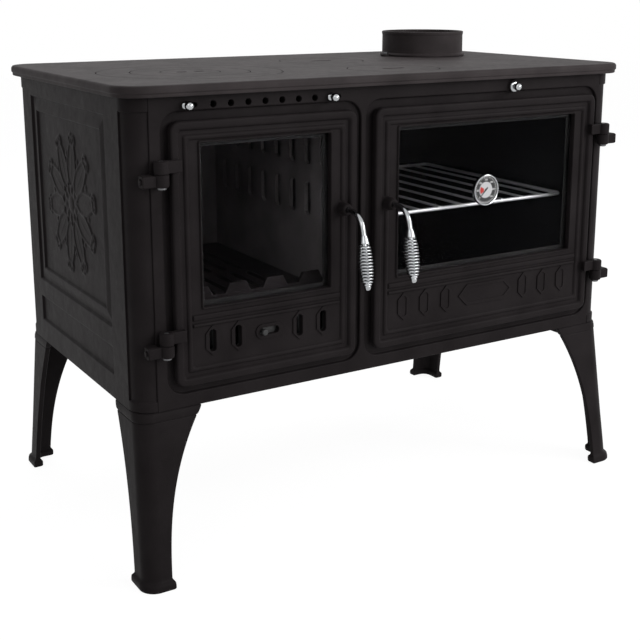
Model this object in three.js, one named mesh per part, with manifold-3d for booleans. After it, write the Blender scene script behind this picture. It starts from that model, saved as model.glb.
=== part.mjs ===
// Cast-iron wood cookstove: firebox on the left, oven on the right, four splayed legs.
// Millimetres, +Z up, front facing -Y. Built round the middle of the body, at floor level.
import * as THREE from 'three';
import { mergeVertices } from 'three/addons/utils/BufferGeometryUtils.js';
import Module from 'manifold-3d';

// ---- Driving sizes ----

const fitGap = 0.3; // between pieces that touch

// Body, legs and cooktop
const bodyWidth = 868;
const bodyDepth = 474;
const bodyHeight = 433;
const legHeight = 250;
const panelWall = 8;
const backWall = 6;
const frameWall = 14;
const basePlateWall = 6;
const postRadius = 30;
const postRelief = 2.5;
const postFootHeight = 14;
const postHeadHeight = 18;
const cooktopWall = 16;
const cooktopOverhangX = 13;
const cooktopOverhangY = 17;
const cooktopCornerRadius = 42;
const cooktopBevel = 3;

// Side panels
const panelSinkDepth = 4;
const panelCoveDepth = 2;
const panelSinkWidth = 276;
const panelSinkBottom = 128;
const panelSinkTopMargin = 49;
const panelSinkOffset = 5; // towards the back
const panelCoveWidth = 22;
const panelLowBottom = 36;
const panelLowHeight = 42;

// Door layout on the front
const frontMarginLeft = 57;
const frontMarginRight = 46;
const doorGap = 33;
const doorMarginBottom = 32;
const doorMarginTop = 32.5;
const fireDoorWidth = 293;
const doorLap = 14; // door over the edge of its opening
const doorCornerRadius = 14;
const openingCornerRadius = 8;
const recessMargin = 12;
const recessHingeMargin = 10;
const recessDepth = 6;

// Doors
const doorWall = 6;
const doorSetback = 4; // from the recess floor to the back of the door
const rimWidth = 13;
const rimHeight = 5;
const ridgeInset = 20;
const ridgeWidth = 8;
const ridgeHeight = 3;
const windowSideMargin = 44;
const windowTopMargin = 31;
const windowBottomMargin = 110;
const windowLip = 6;
const windowLipHeight = 3;
const glassWall = 4;
const glassLap = 8;
const glassHolderWall = 1.5;
const glassHolderWidth = 14;
const gasketWidth = 7;

// Air slots and slider of the firebox door
const airSlotHeight = 92;
const airSlotPitch = 40;
const airSlotInner = 50;
const airSlotWidth = 10;
const airSlotLength = 32;
const slotPadWidth = 22;
const slotPadLength = 44;
const slotPadHeight = 2;
const sliderTravel = 20;
const sliderWall = 3;
const sliderWidth = 60;
const sliderMargin = 5;
const sliderKnobRadius = 5;
const sliderKnobLength = 9;
const sliderSlotWidth = 11;

// Oven door ornament and thermometer
const ovenSlotInner = 80;
const ovenSlotPitch = 41.5;
const cartoucheWidth = 112;
const cartoucheLength = 34;
const dialRadius = 25;
const dialDepth = 8;
const dialBezel = 3;
const dialStemRadius = 4;
const dialRise = 3.5; // above the middle of the window
const dialOffset = -5; // to the side of the middle of the window
const needleLength = 16;
const needleColdAngle = 135; // degrees back from straight up

// Hinges
const pinOffset = 16; // pin axis outside the door's edge
const pinProud = 13; // pin axis in front of the front frame
const pinRadius = 4;
const pinClearance = 0.4;
const knuckleRadius = 10;
const doorKnuckleHeight = 18;
const bodyKnuckleHeight = 17;
const hingeUpper = 100; // below the body's top
const hingeLower = 99; // above its bottom
const bracketReach = 28;
const bracketHeight = 16;
const bracketWall = 6;

// Handles
const handleInset = 24;
const handleFromTop = 175;
const hubRadius = 10;
const hubLength = 13;
const hubTaper = 2.5;
const rodRadius = 4;
const rodClearance = 0.4;
const handleReach = 36; // hub face to the bend's outer corner
const handleBend = 30;
const gripSlope = 9; // degrees away from the door
const collarLength = 12;
const collarRadius = 7.5;
const coilWire = 2.9;
const coilTurns = 12;
const coilEndRadius = 7;
const coilMidRadius = 10;
const coilLength = 57;
const gripNutLength = 10;
const gripNutRadius = 5;
const latchLength = 20;
const latchWidth = 12;
const latchWall = 6;
const latchGap = 2; // behind the front frame

// Top rail: air slider and damper
const railFromTop = 13;
const railHoleCount = 7;
const railHolePitch = 26.5;
const railHoleRadius = 4.5;
const railHoleStart = 67.5; // from the firebox door's left edge
const railKnobSpread = 40;
const railTravel = 13;
const railBarHeight = 17;
const railBarWall = 3;
const railShankRadius = 3;
const railKnobRadius = 6.5;
const railKnobReach = 17;
const damperFromRight = 220;
const damperRodRadius = 3;
const damperRodLength = 235;
const damperKnobRadius = 6.5;
const damperBossRadius = 10;
const damperBossWall = 4;
const damperLugWidth = 20;
const damperPlateWidth = 120;
const damperPlateDepth = 90;
const damperPlateWall = 3;
const damperNutWall = 4;

// Cooktop fittings
const hotplateFromLeft = 177;
const hotplateY = -53;
const hotplateRadius = 139;
const middleRingRadius = 90;
const centreLidRadius = 45;
const lidRadius = 72.5;
const lidsFromGap = 111;
const rearLidY = 63;
const frontLidY = -152;
const ringSeat = 6;
const ringWall = 8;
const lifterLength = 40;
const lifterWidth = 10;
const lifterSplit = 12;
const flueFromRight = 141;
const flueFromBack = 127;
const flueRadius = 75;
const flueWall = 5;
const flueHeight = 44;
const flueFlange = 3;
const flueFlangeWall = 4;
const flueEarReach = 10;
const flueBoltRadius = 3;
const flueBoltHead = 5;

// Legs
const legSplayX = 10;
const legSplayY = 36;
const legWall = 8;
const legTopWidth = 97;
const legTopDepth = 84;
const legFootWidth = 39;
const legFootDepth = 46;
const legCornerRadius = 25;
const legPadWall = 10;
const footHeight = 12;
const footFlare = 4;
const legLevels = 8;

// Fire side
const linerWall = 6;
const linerClearance = 2;
const linerFromTop = 33;
const fireDepth = 410;
const linerSlotWidth = 20;
const linerSlotLength = 52;
const linerSlotPitch = 47;
const linerSlotRows = [68, 148]; // slot centres below the top edge
const ledgeWidth = 10;
const ledgeHeight = 8;
const dividerFromTop = 51;
const grateHeight = 112;
const grateWall = 8;
const grateSlotWidth = 10;
const grateBarWidth = 17;
const guardWall = 6;
const guardTop = 160;
const guardTooth = 14;
const guardPitch = 61;
const guardToothTop = 27;
const guardToothSlope = 7;
const guardSetback = 11;
const runnerHeight = 42;
const runnerWall = 8;
const runnerInset = 20;
const panHeight = 54;
const panWall = 1.5;
const panClearance = 20;
const panSetback = 18;
const panDepth = 385;
const panTabWidth = 60;
const panTabReach = 10;

// Oven side
const ovenWall = 4;
const ovenClearance = 2;
const ovenDepth = 412;
const latchNotchDepth = 18;
const rackHeight = 229;
const rackClearance = 10;
const rackSetback = 23;
const rackDepth = 380;
const rackFrameRadius = 3;
const rackWireRadius = 2;
const rackWireCount = 8;
const rackLedgeWidth = 14;
const rackLedgeWall = 2;

// ---- Places worked out from the sizes ----

const halfWidth = bodyWidth / 2;
const halfDepth = bodyDepth / 2;
const bodyBottom = legHeight;
const bodyTop = legHeight + bodyHeight;
const cooktopBottom = bodyTop + fitGap;
const cooktopTop = cooktopBottom + cooktopWall;
const frontY = -halfDepth;
const frameBackY = frontY + frameWall;
const recessY = frontY + recessDepth;
const doorBackY = recessY - doorSetback;
const doorFaceY = doorBackY - doorWall;
const rimY = doorFaceY - rimHeight;
const innerBottom = bodyBottom + basePlateWall + fitGap;
const runnerTop = bodyBottom + basePlateWall + runnerHeight;

const fireDoor = { name: 'firebox_door', hingeSide: -1 };
fireDoor.left = -halfWidth + frontMarginLeft;
fireDoor.right = fireDoor.left + fireDoorWidth;
const ovenDoor = { name: 'oven_door', hingeSide: 1 };
ovenDoor.left = fireDoor.right + doorGap;
ovenDoor.right = halfWidth - frontMarginRight;
for (const door of [fireDoor, ovenDoor]) {
  door.bottom = bodyBottom + doorMarginBottom;
  door.top = bodyTop - doorMarginTop;
  door.middle = (door.left + door.right) / 2;
  const hingeEdge = door.hingeSide < 0 ? door.left : door.right;
  const freeEdge = door.hingeSide < 0 ? door.right : door.left;
  door.pinX = hingeEdge + door.hingeSide * pinOffset;
  door.handleX = freeEdge + door.hingeSide * handleInset;
  door.opening = inset(door, doorLap);
  door.window = {
    left: door.left + windowSideMargin,
    right: door.right - windowSideMargin,
    bottom: door.bottom + windowBottomMargin,
    top: door.top - windowTopMargin,
  };
}
const pinY = frontY - pinProud;
const gapX = (fireDoor.right + ovenDoor.left) / 2;
const hingeLevels = [['upper', bodyTop - hingeUpper], ['lower', bodyBottom + hingeLower]];

// ---- Shapes ----

const wasm = await Module();
wasm.setup();

function inset(box, margin) {
  return {
    left: box.left + margin,
    right: box.right - margin,
    bottom: box.bottom + margin,
    top: box.top - margin,
  };
}

function roundedShape(box, radius) {
  const r = Math.min(radius, (box.right - box.left) / 2, (box.top - box.bottom) / 2);
  const shape = new THREE.Shape();
  shape.moveTo(box.left + r, box.bottom);
  shape.lineTo(box.right - r, box.bottom);
  shape.absarc(box.right - r, box.bottom + r, r, -Math.PI / 2, 0);
  shape.lineTo(box.right, box.top - r);
  shape.absarc(box.right - r, box.top - r, r, 0, Math.PI / 2);
  shape.lineTo(box.left + r, box.top);
  shape.absarc(box.left + r, box.top - r, r, Math.PI / 2, Math.PI);
  shape.lineTo(box.left, box.bottom + r);
  shape.absarc(box.left + r, box.bottom + r, r, Math.PI, Math.PI * 1.5);
  return shape;
}

function around(x, y, width, length) {
  return { left: x - width / 2, right: x + width / 2, bottom: y - length / 2, top: y + length / 2 };
}

function stadiumShape(x, y, width, length) {
  return roundedShape(around(x, y, width, length), Math.min(width, length) / 2);
}

// A slot whose ends are cut to half an octagon
function slotShape(x, y, width, length) {
  const [w, l, c] = [width / 2, length / 2, Math.min(width, length) * 0.29];
  return new THREE.Shape([
    [-w + c, -l], [w - c, -l], [w, -l + c], [w, l - c], [w - c, l], [-w + c, l], [-w, l - c], [-w, -l + c],
  ].map(([dx, dy]) => new THREE.Vector2(x + dx, y + dy)));
}

// A box whose two ends, along its longer way, come to a point
function pointedShape(x, y, width, length) {
  const point = Math.min(width, length) / 2;
  const outline =
    length > width
      ? [[-width / 2, -length / 2 + point], [0, -length / 2], [width / 2, -length / 2 + point],
         [width / 2, length / 2 - point], [0, length / 2], [-width / 2, length / 2 - point]]
      : [[-width / 2, 0], [-width / 2 + point, -length / 2], [width / 2 - point, -length / 2],
         [width / 2, 0], [width / 2 - point, length / 2], [-width / 2 + point, length / 2]];
  return new THREE.Shape(outline.map(([dx, dy]) => new THREE.Vector2(x + dx, y + dy)));
}

// Extrusions of a shape: in XZ from one Y to another, in YZ from one X to another, in XY in Z
function alongY(shape, y0, y1, steps = 2) {
  const geometry = new THREE.ExtrudeGeometry(shape, {
    depth: y1 - y0, bevelEnabled: false, curveSegments: steps,
  });
  return geometry.rotateX(Math.PI / 2).translate(0, y1, 0);
}

function alongX(shape, x0, x1, steps = 2) {
  const geometry = new THREE.ExtrudeGeometry(shape, {
    depth: x1 - x0, bevelEnabled: false, curveSegments: steps,
  });
  return geometry.rotateX(Math.PI / 2).rotateZ(Math.PI / 2).translate(x0, 0, 0);
}

function alongZ(shape, z0, z1, steps = 2) {
  const geometry = new THREE.ExtrudeGeometry(shape, {
    depth: z1 - z0, bevelEnabled: false, curveSegments: steps,
  });
  return geometry.translate(0, 0, z0);
}

function block(x0, x1, y0, y1, z0, z1) {
  const geometry = new THREE.BoxGeometry(x1 - x0, y1 - y0, z1 - z0);
  return geometry.translate((x0 + x1) / 2, (y0 + y1) / 2, (z0 + z1) / 2);
}

function rodAlongY(x, z, radius, y0, y1, sides = 16) {
  return new THREE.CylinderGeometry(radius, radius, y1 - y0, sides).translate(x, (y0 + y1) / 2, z);
}

function rodAlongZ(x, y, radius, z0, z1, sides = 16) {
  const geometry = new THREE.CylinderGeometry(radius, radius, z1 - z0, sides);
  return geometry.rotateX(Math.PI / 2).translate(x, y, (z0 + z1) / 2);
}

function rodAlongX(y, z, radius, x0, x1, sides = 16) {
  const geometry = new THREE.CylinderGeometry(radius, radius, x1 - x0, sides);
  return geometry.rotateZ(Math.PI / 2).translate((x0 + x1) / 2, y, z);
}

// A turned piece: points are [radius, height] and close on themselves or end on the axis
function turned(points, sides) {
  const profile = points.map(([radius, height]) => new THREE.Vector2(radius, height));
  return new THREE.LatheGeometry(profile, sides).rotateX(Math.PI / 2);
}

// The same along Y: points are [radius, y]
function turnedAlongY(x, z, points, sides) {
  const profile = points.map(([radius, y]) => new THREE.Vector2(radius, y));
  return new THREE.LatheGeometry(profile, sides).translate(x, 0, z);
}

// A round knob on a shank, its face at frontY, its shank ending at backY
function knob(x, z, faceY, backY, knobRadius, shankRadius, sides) {
  const arcs = 5;
  const sweep = Math.PI - Math.asin(shankRadius / knobRadius);
  const points = Array.from({ length: arcs + 1 }, (_, i) => {
    const angle = (i / arcs) * sweep;
    return [knobRadius * Math.sin(angle), faceY + knobRadius * (1 - Math.cos(angle))];
  });
  points[0][0] = 0;
  points.push([shankRadius, backY], [0, backY]);
  return turnedAlongY(x, z, points, sides);
}

// A closed tube through stations {at, along, radius}, with its first side towards reference x along
function sweptTube(stations, sides, reference) {
  const positions = stations.flatMap(({ at, along, radius }) => {
    const out = reference.clone().cross(along).normalize();
    const up = along.clone().cross(out).normalize();
    return Array.from({ length: sides }, (_, k) => {
      const angle = (k / sides) * Math.PI * 2;
      return at.clone()
        .addScaledVector(out, radius * Math.cos(angle))
        .addScaledVector(up, radius * Math.sin(angle))
        .toArray();
    }).flat();
  });
  const index = [];
  for (let i = 0; i + 1 < stations.length; i += 1) {
    for (let k = 0; k < sides; k += 1) {
      const [a, b] = [i * sides + k, i * sides + ((k + 1) % sides)];
      index.push(a, b, b + sides, a, b + sides, a + sides);
    }
  }
  const last = (stations.length - 1) * sides;
  for (let k = 1; k + 1 < sides; k += 1) index.push(0, k + 1, k, last, last + k, last + k + 1);
  const geometry = new THREE.BufferGeometry();
  geometry.setAttribute('position', new THREE.Float32BufferAttribute(positions, 3));
  geometry.setIndex(index);
  return geometry;
}

function solid(geometry) {
  const bare = geometry.index ? geometry.clone() : mergeVertices(geometry.clone());
  for (const key of Object.keys(bare.attributes)) if (key !== 'position') bare.deleteAttribute(key);
  const merged = mergeVertices(bare, 1e-4);
  const corners = merged.index.array;
  const kept = [];
  for (let i = 0; i < corners.length; i += 3) {
    const [a, b, c] = [corners[i], corners[i + 1], corners[i + 2]];
    if (a !== b && b !== c && c !== a) kept.push(a, b, c);
  }
  return new wasm.Manifold(new wasm.Mesh({
    numProp: 3, vertProperties: merged.attributes.position.array, triVerts: new Uint32Array(kept),
  }));
}

function geometryOf(manifold) {
  const mesh = manifold.getMesh();
  const geometry = new THREE.BufferGeometry();
  geometry.setAttribute('position', new THREE.BufferAttribute(new Float32Array(mesh.vertProperties), 3));
  geometry.setIndex(new THREE.BufferAttribute(new Uint32Array(mesh.triVerts), 1));
  return geometry;
}

function joined(...geometries) {
  return geometries.map(solid).reduce((whole, piece) => whole.add(piece));
}

function cut(body, ...geometries) {
  return geometries.map(solid).reduce((whole, tool) => whole.subtract(tool), body);
}

// ---- Finishes ----

const castIron = { color: 0x232122, roughness: 0.62, metalness: 0.35 };
const bareIron = { color: 0x4d4745, roughness: 0.5, metalness: 0.45 };
const chrome = { color: 0xd9dadc, roughness: 0.12, metalness: 1 };
const pane = { color: 0x11100f, roughness: 0.05, metalness: 0, transparent: true, opacity: 0.35 };
const rope = { color: 0x77736b, roughness: 0.95, metalness: 0 };
const sheetSteel = { color: 0x5c5d5f, roughness: 0.4, metalness: 0.8 };
const enamel = { color: 0x17171a, roughness: 0.25, metalness: 0.1 };
const dialWhite = { color: 0xe8e6e0, roughness: 0.35, metalness: 0.1 };

const stove = new THREE.Group();

function place(name, finish, piece) {
  const geometry = piece.isBufferGeometry ? piece : geometryOf(piece);
  const mesh = new THREE.Mesh(geometry, new THREE.MeshStandardMaterial(finish));
  mesh.name = name;
  stove.add(mesh);
  return mesh;
}

// ---- Base plate: stands on the legs, with runners for the ash pan and the oven ----

const plateX = halfWidth - panelWall - fitGap;
const plateFrontY = frameBackY + fitGap;
const plateBackY = halfDepth - backWall - fitGap;
const notchX = halfWidth - postRadius - fitGap;
const notchY = halfDepth - postRadius - fitGap;
const plateShape = new THREE.Shape([
  [-notchX, plateFrontY], [notchX, plateFrontY], [notchX, -notchY], [plateX, -notchY],
  [plateX, notchY], [notchX, notchY], [notchX, plateBackY], [-notchX, plateBackY],
  [-notchX, notchY], [-plateX, notchY], [-plateX, -notchY], [-notchX, -notchY],
].map(([x, y]) => new THREE.Vector2(x, y)));

// Firebox walls stand just inside the edge of the fire door's opening
const fireLeft = fireDoor.opening.left - linerClearance;
const fireRight = fireDoor.opening.right + linerClearance;
const fireFrontY = frameBackY + guardSetback;
const fireBackY = fireFrontY + fireDepth;
const ovenLeft = ovenDoor.opening.left + ovenClearance;
const ovenRight = ovenDoor.opening.right - ovenClearance;
const ovenBottom = ovenDoor.opening.bottom;
const ovenTop = ovenDoor.opening.top;
const ovenFrontY = frameBackY + fitGap;
const ovenBackY = ovenFrontY + ovenDepth;

const runnerPlaces = [
  [fireLeft + runnerInset, runnerTop - fitGap],
  [fireRight - runnerInset - runnerWall, runnerTop - fitGap],
  [ovenLeft + runnerInset, ovenBottom - ovenWall - fitGap],
  [ovenRight - runnerInset - runnerWall, ovenBottom - ovenWall - fitGap],
];
const runners = runnerPlaces.map(([x, top]) =>
  block(x, x + runnerWall, fireFrontY, fireBackY - runnerInset, bodyBottom + 1, top));
place('base_plate', castIron,
  joined(alongZ(plateShape, bodyBottom, bodyBottom + basePlateWall), ...runners));

// ---- Corner posts: quarter rounds with a relieved shaft between foot and head ----

const postTurning = turned([
  [0, bodyBottom],
  [postRadius, bodyBottom],
  [postRadius, bodyBottom + postFootHeight],
  [postRadius - postRelief, bodyBottom + postFootHeight + postRelief],
  [postRadius - postRelief, bodyTop - postHeadHeight - postRelief],
  [postRadius, bodyTop - postHeadHeight],
  [postRadius, bodyTop],
  [0, bodyTop],
], 32);
const postQuarter = geometryOf(
  solid(postTurning).intersect(solid(block(0, postRadius * 2, 0, postRadius * 2, bodyBottom, bodyTop))));
const corners = [['front_left', -1, -1], ['front_right', 1, -1], ['back_left', -1, 1], ['back_right', 1, 1]];

// Turns a piece made for the +X +Y corner to another corner; a mirrored one has its faces turned back
function toCorner(geometry, signX, signY) {
  const copy = geometry.clone().scale(signX, signY, 1);
  if (signX * signY < 0) {
    const index = copy.index.array;
    for (let i = 0; i < index.length; i += 3) [index[i], index[i + 1]] = [index[i + 1], index[i]];
  }
  return copy;
}

for (const [corner, signX, signY] of corners) {
  const post = place(`${corner}_post`, castIron, toCorner(postQuarter, signX, signY));
  post.position.set(signX * (halfWidth - postRadius), signY * (halfDepth - postRadius), 0);
}

// ---- Side panels: a sunk field between two coves, and a low sunk band ----

const panelHalf = halfDepth - postRadius - fitGap;
const sinkTop = bodyTop - panelSinkTopMargin;
const sinkBottom = bodyBottom + panelSinkBottom;
const sinkHalf = panelSinkWidth / 2;
const sunkField = {
  left: panelSinkOffset - sinkHalf, right: panelSinkOffset + sinkHalf, bottom: sinkBottom, top: sinkTop,
};
const cove = inset(sunkField, -panelCoveWidth);
const lowBand = {
  left: cove.left, right: cove.right,
  bottom: bodyBottom + panelLowBottom, top: bodyBottom + panelLowBottom + panelLowHeight,
};
for (const [side, sign] of [['left', -1], ['right', 1]]) {
  const outer = sign * halfWidth;
  const slice = (box, depth) => {
    const from = Math.min(outer - sign * depth, outer + sign);
    return alongX(roundedShape(box, 3), from, from + depth + 1, 1);
  };
  const from = Math.min(outer, outer - sign * panelWall);
  const plate = { left: -panelHalf, right: panelHalf, bottom: bodyBottom, top: bodyTop };
  place(`${side}_side_panel`, castIron, cut(
    solid(alongX(roundedShape(plate, 0.5), from, from + panelWall, 1)),
    slice(cove, panelCoveDepth), slice(sunkField, panelSinkDepth), slice(lowBand, panelCoveDepth)));
}

// ---- Back panel ----

const backHalf = halfWidth - postRadius - fitGap;
place('back_panel', castIron, cut(
  solid(block(-backHalf, backHalf, halfDepth - backWall, halfDepth, bodyBottom, bodyTop)),
  alongY(roundedShape({
    left: -backHalf + panelSinkTopMargin, right: backHalf - panelSinkTopMargin,
    bottom: bodyBottom + panelSinkTopMargin, top: bodyTop - panelSinkTopMargin,
  }, doorCornerRadius), halfDepth - panelCoveDepth, halfDepth + 1)));

// ---- Front frame: two recessed openings, the rail's air holes and the knobs' slots ----

const frameBox = { left: -backHalf, right: backHalf, bottom: bodyBottom, top: bodyTop };
const railZ = bodyTop - railFromTop;
const railHoleX = Array.from({ length: railHoleCount }, (_, i) =>
  fireDoor.left + railHoleStart + i * railHolePitch);
const railKnobX = [railHoleX[0] - railKnobSpread, railHoleX[railHoleCount - 1] + railKnobSpread - railTravel];
const damperX = halfWidth - damperFromRight;

const frameTools = [];
for (const door of [fireDoor, ovenDoor]) {
  const hingeMargin = recessHingeMargin;
  const recess = {
    left: door.left - (door.hingeSide < 0 ? hingeMargin : recessMargin),
    right: door.right + (door.hingeSide > 0 ? hingeMargin : recessMargin),
    bottom: door.bottom - recessMargin,
    top: door.top + recessMargin,
  };
  frameTools.push(alongY(roundedShape(recess, doorCornerRadius + recessMargin), frontY - 1, recessY, 2));
  frameTools.push(alongY(roundedShape(door.opening, openingCornerRadius), frontY - 1, frameBackY + 1, 1));
}
for (const x of railHoleX) {
  frameTools.push(rodAlongY(x, railZ, railHoleRadius, frontY - 1, frameBackY + 1, 8));
}
const railSlotRadius = railShankRadius + fitGap;
for (const x of railKnobX) {
  frameTools.push(alongY(
    stadiumShape(x + railTravel / 2, railZ, railTravel + railSlotRadius * 2, railSlotRadius * 2),
    frontY - 1, frameBackY + 1));
}
frameTools.push(rodAlongY(
  damperX, railZ, damperRodRadius + rodClearance, frontY - damperBossWall - 1, frameBackY + 1, 12));
const damperBossY = frontY - damperBossWall;
place('front_frame', castIron, cut(
  joined(
    alongY(roundedShape(frameBox, 0.5), frontY, frameBackY, 1),
    rodAlongY(damperX, railZ, damperBossRadius, damperBossY, frontY + 1, 20)),
  ...frameTools));

// ---- Legs: angle section with a rounded corner, drawn in to a small flared foot ----

// One level of the section, for the +X +Y corner, seen from above; corner at (cornerX, cornerY)
function legSection(cornerX, cornerY, width, depth, flare) {
  const r = Math.min(legCornerRadius, width * 0.6, depth * 0.6);
  const points = [];
  const outerX = cornerX + flare;
  const outerY = cornerY + flare;
  points.push([outerX, outerY - depth - flare * 2]);
  for (let i = 0; i <= 4; i += 1) {
    const angle = (i / 4) * (Math.PI / 2);
    points.push([outerX - r + r * Math.cos(angle), outerY - r + r * Math.sin(angle)]);
  }
  points.push([outerX - width - flare * 2, outerY]);
  points.push([outerX - width - flare * 2, outerY - legWall - flare]);
  const inner = r - legWall;
  for (let i = 2; i >= 0; i -= 1) {
    const angle = (i / 2) * (Math.PI / 2);
    points.push([
      cornerX - r + inner * Math.cos(angle) - flare,
      cornerY - r + inner * Math.sin(angle) - flare,
    ]);
  }
  points.push([outerX - legWall - flare, outerY - depth - flare * 2]);
  return points;
}

// A closed skin over sections of equal point count, lowest first, with flat ends
function lofted(sections) {
  const count = sections[0].points.length;
  const positions = sections.flatMap(({ points, z }) => points.flatMap(([x, y]) => [x, y, z]));
  const index = [];
  for (let level = 0; level + 1 < sections.length; level += 1) {
    for (let i = 0; i < count; i += 1) {
      const next = (i + 1) % count;
      const [a, b] = [level * count + i, level * count + next];
      index.push(a, b, b + count, a, b + count, a + count);
    }
  }
  const top = (sections.length - 1) * count;
  for (const [points, start, up] of [[sections[0].points, 0, false], [sections.at(-1).points, top, true]]) {
    const outline = points.map(([x, y]) => new THREE.Vector2(x, y));
    for (const [a, b, c] of THREE.ShapeUtils.triangulateShape(outline, [])) {
      index.push(...(up ? [start + a, start + b, start + c] : [start + a, start + c, start + b]));
    }
  }
  const geometry = new THREE.BufferGeometry();
  geometry.setAttribute('position', new THREE.Float32BufferAttribute(positions, 3));
  geometry.setIndex(index);
  return geometry;
}

const legTop = legHeight - fitGap;
const legSections = [];
function addLegLevel(z, flare) {
  const drop = 1 - z / legTop;
  const width = legFootWidth + (legTopWidth - legFootWidth) * (1 - drop) ** 2.7;
  const depth = legFootDepth + (legTopDepth - legFootDepth) * (1 - drop) ** 2.4;
  legSections.push({
    z,
    points: legSection(halfWidth + legSplayX * drop, halfDepth + legSplayY * drop, width, depth, flare),
  });
}
addLegLevel(0, footFlare * 0.7);
addLegLevel(footHeight * 0.35, footFlare);
addLegLevel(footHeight, footFlare * 0.8);
const ankle = footHeight * 1.5;
for (let i = 0; i <= legLevels; i += 1) addLegLevel(ankle + (legTop - ankle) * (i / legLevels), 0);
const legCap = block(
  halfWidth - legTopWidth + legWall, halfWidth - legWall / 2,
  halfDepth - legTopDepth + legWall, halfDepth - legWall / 2, legTop - legPadWall, legTop);
const legCorner = geometryOf(joined(lofted(legSections), legCap));
for (const [corner, signX, signY] of corners) {
  place(`${corner}_leg`, castIron, toCorner(legCorner, signX, signY));
}

// ---- Cooktop: slab with stepped seats for rings, lids and the flue ----

const slabX = halfWidth + cooktopOverhangX;
const slabY = halfDepth + cooktopOverhangY;
const slabShape = roundedShape({
  left: -slabX + cooktopBevel, right: slabX - cooktopBevel,
  bottom: -slabY + cooktopBevel, top: slabY - cooktopBevel,
}, cooktopCornerRadius - cooktopBevel);
const slab = new THREE.ExtrudeGeometry(slabShape, {
  depth: cooktopWall - cooktopBevel * 2, bevelThickness: cooktopBevel, bevelSize: cooktopBevel,
  bevelSegments: 1, curveSegments: 4,
}).translate(0, 0, cooktopBottom + cooktopBevel);

const hotplateX = -halfWidth + hotplateFromLeft;
const lidsX = gapX + lidsFromGap;
const flueX = halfWidth - flueFromRight;
const flueY = halfDepth - flueFromBack;
const seatZ = cooktopTop - ringWall;

// The hole that a disc of this radius drops into: full width over the seat, narrower below it
function seatHole(x, y, radius, sides) {
  return turned([
    [0, cooktopBottom - 1], [radius - ringSeat, cooktopBottom - 1], [radius - ringSeat, seatZ],
    [radius, seatZ], [radius, cooktopTop + 1], [0, cooktopTop + 1],
  ], sides).translate(x, y, 0);
}

// A disc that hangs in such a hole by its rim
function seatedDisc(radius, sides) {
  const r = radius - fitGap * 2;
  const boss = radius - ringSeat - fitGap * 2;
  return solid(turned([
    [0, cooktopBottom], [boss, cooktopBottom], [boss, seatZ + fitGap],
    [r, seatZ + fitGap], [r, cooktopTop], [0, cooktopTop],
  ], sides));
}

const earAngles = [0, Math.PI];
const boltPlaces = earAngles.map((angle) => [
  flueX + Math.cos(angle) * (flueRadius + flueEarReach / 2 + flueFlange),
  flueY + Math.sin(angle) * (flueRadius + flueEarReach / 2 + flueFlange),
]);
const boltHoleRadius = flueBoltRadius + fitGap;
const flueSides = 32;
const fluePassage = turned([
  [0, cooktopBottom - 1], [flueRadius - flueWall, cooktopBottom - 1],
  [flueRadius - flueWall, cooktopTop + 1], [0, cooktopTop + 1],
], flueSides).translate(flueX, flueY, 0);
place('cooktop', bareIron, cut(
  solid(slab),
  seatHole(hotplateX, hotplateY, hotplateRadius, 40),
  seatHole(lidsX, rearLidY, lidRadius, 24),
  seatHole(lidsX, frontLidY, lidRadius, 24),
  fluePassage,
  ...boltPlaces.map(([x, y]) => rodAlongZ(x, y, boltHoleRadius, cooktopBottom - 1, cooktopTop + 1, 10))));

function lifterSlots(parts) {
  const slot = (x, length) =>
    alongZ(stadiumShape(x, 0, length, lifterWidth), cooktopBottom - 1, cooktopTop + 1, 1);
  if (parts === 1) return [slot(0, lifterLength)];
  const half = (lifterLength - lifterSplit / 2) / 2;
  return [-1, 1].map((sign) => slot(sign * (lifterSplit + half) / 2, half));
}

const lifts = [
  place('hotplate_outer_ring', bareIron,
    cut(seatedDisc(hotplateRadius, 40), seatHole(0, 0, middleRingRadius, 32))),
  place('hotplate_middle_ring', bareIron,
    cut(seatedDisc(middleRingRadius, 32), seatHole(0, 0, centreLidRadius, 24))),
  place('hotplate_centre_lid', bareIron, cut(seatedDisc(centreLidRadius, 24), ...lifterSlots(2))),
];
for (const mesh of lifts) mesh.position.set(hotplateX, hotplateY, 0);
for (const [name, y] of [['rear_lid', rearLidY], ['front_right_lid', frontLidY]]) {
  place(name, bareIron, cut(seatedDisc(lidRadius, 24), ...lifterSlots(1))).position.set(lidsX, y, 0);
}

// ---- Flue collar, held to the cooktop by two bolts through its ears ----

const collarBottom = cooktopTop + fitGap;
const collarTop = collarBottom + flueHeight;
const earTools = boltPlaces.map(([x, y]) =>
  rodAlongZ(x, y, boltHoleRadius, collarBottom - 1, collarBottom + flueFlangeWall + 1, 10));
const ears = boltPlaces.map(([x, y]) =>
  rodAlongZ(x, y, flueBoltHead + flueFlange, collarBottom, collarBottom + flueFlangeWall, 14));
const collarBody = turned([
  [0, collarBottom], [flueRadius + flueFlange, collarBottom],
  [flueRadius + flueFlange, collarBottom + flueFlangeWall], [flueRadius, collarBottom + flueFlangeWall],
  [flueRadius, collarTop], [0, collarTop],
], flueSides).translate(flueX, flueY, 0);
const collarBore = turned([
  [0, collarBottom - 1], [flueRadius - flueWall, collarBottom - 1],
  [flueRadius - flueWall, collarTop + 1], [0, collarTop + 1],
], flueSides).translate(flueX, flueY, 0);
place('flue_collar', castIron, cut(joined(collarBody, ...ears), collarBore, ...earTools));
boltPlaces.forEach(([x, y], i) => {
  const headBottom = collarBottom + flueFlangeWall + fitGap;
  place(`flue_bolt_${i === 0 ? 'right' : 'left'}`, sheetSteel, joined(
    rodAlongZ(x, y, flueBoltRadius, cooktopBottom, headBottom + 1, 10),
    rodAlongZ(x, y, flueBoltHead, headBottom, headBottom + flueBoltRadius, 6)));
});

// ---- Firebox: slotted liners, divider, grate and log guard ----

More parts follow.
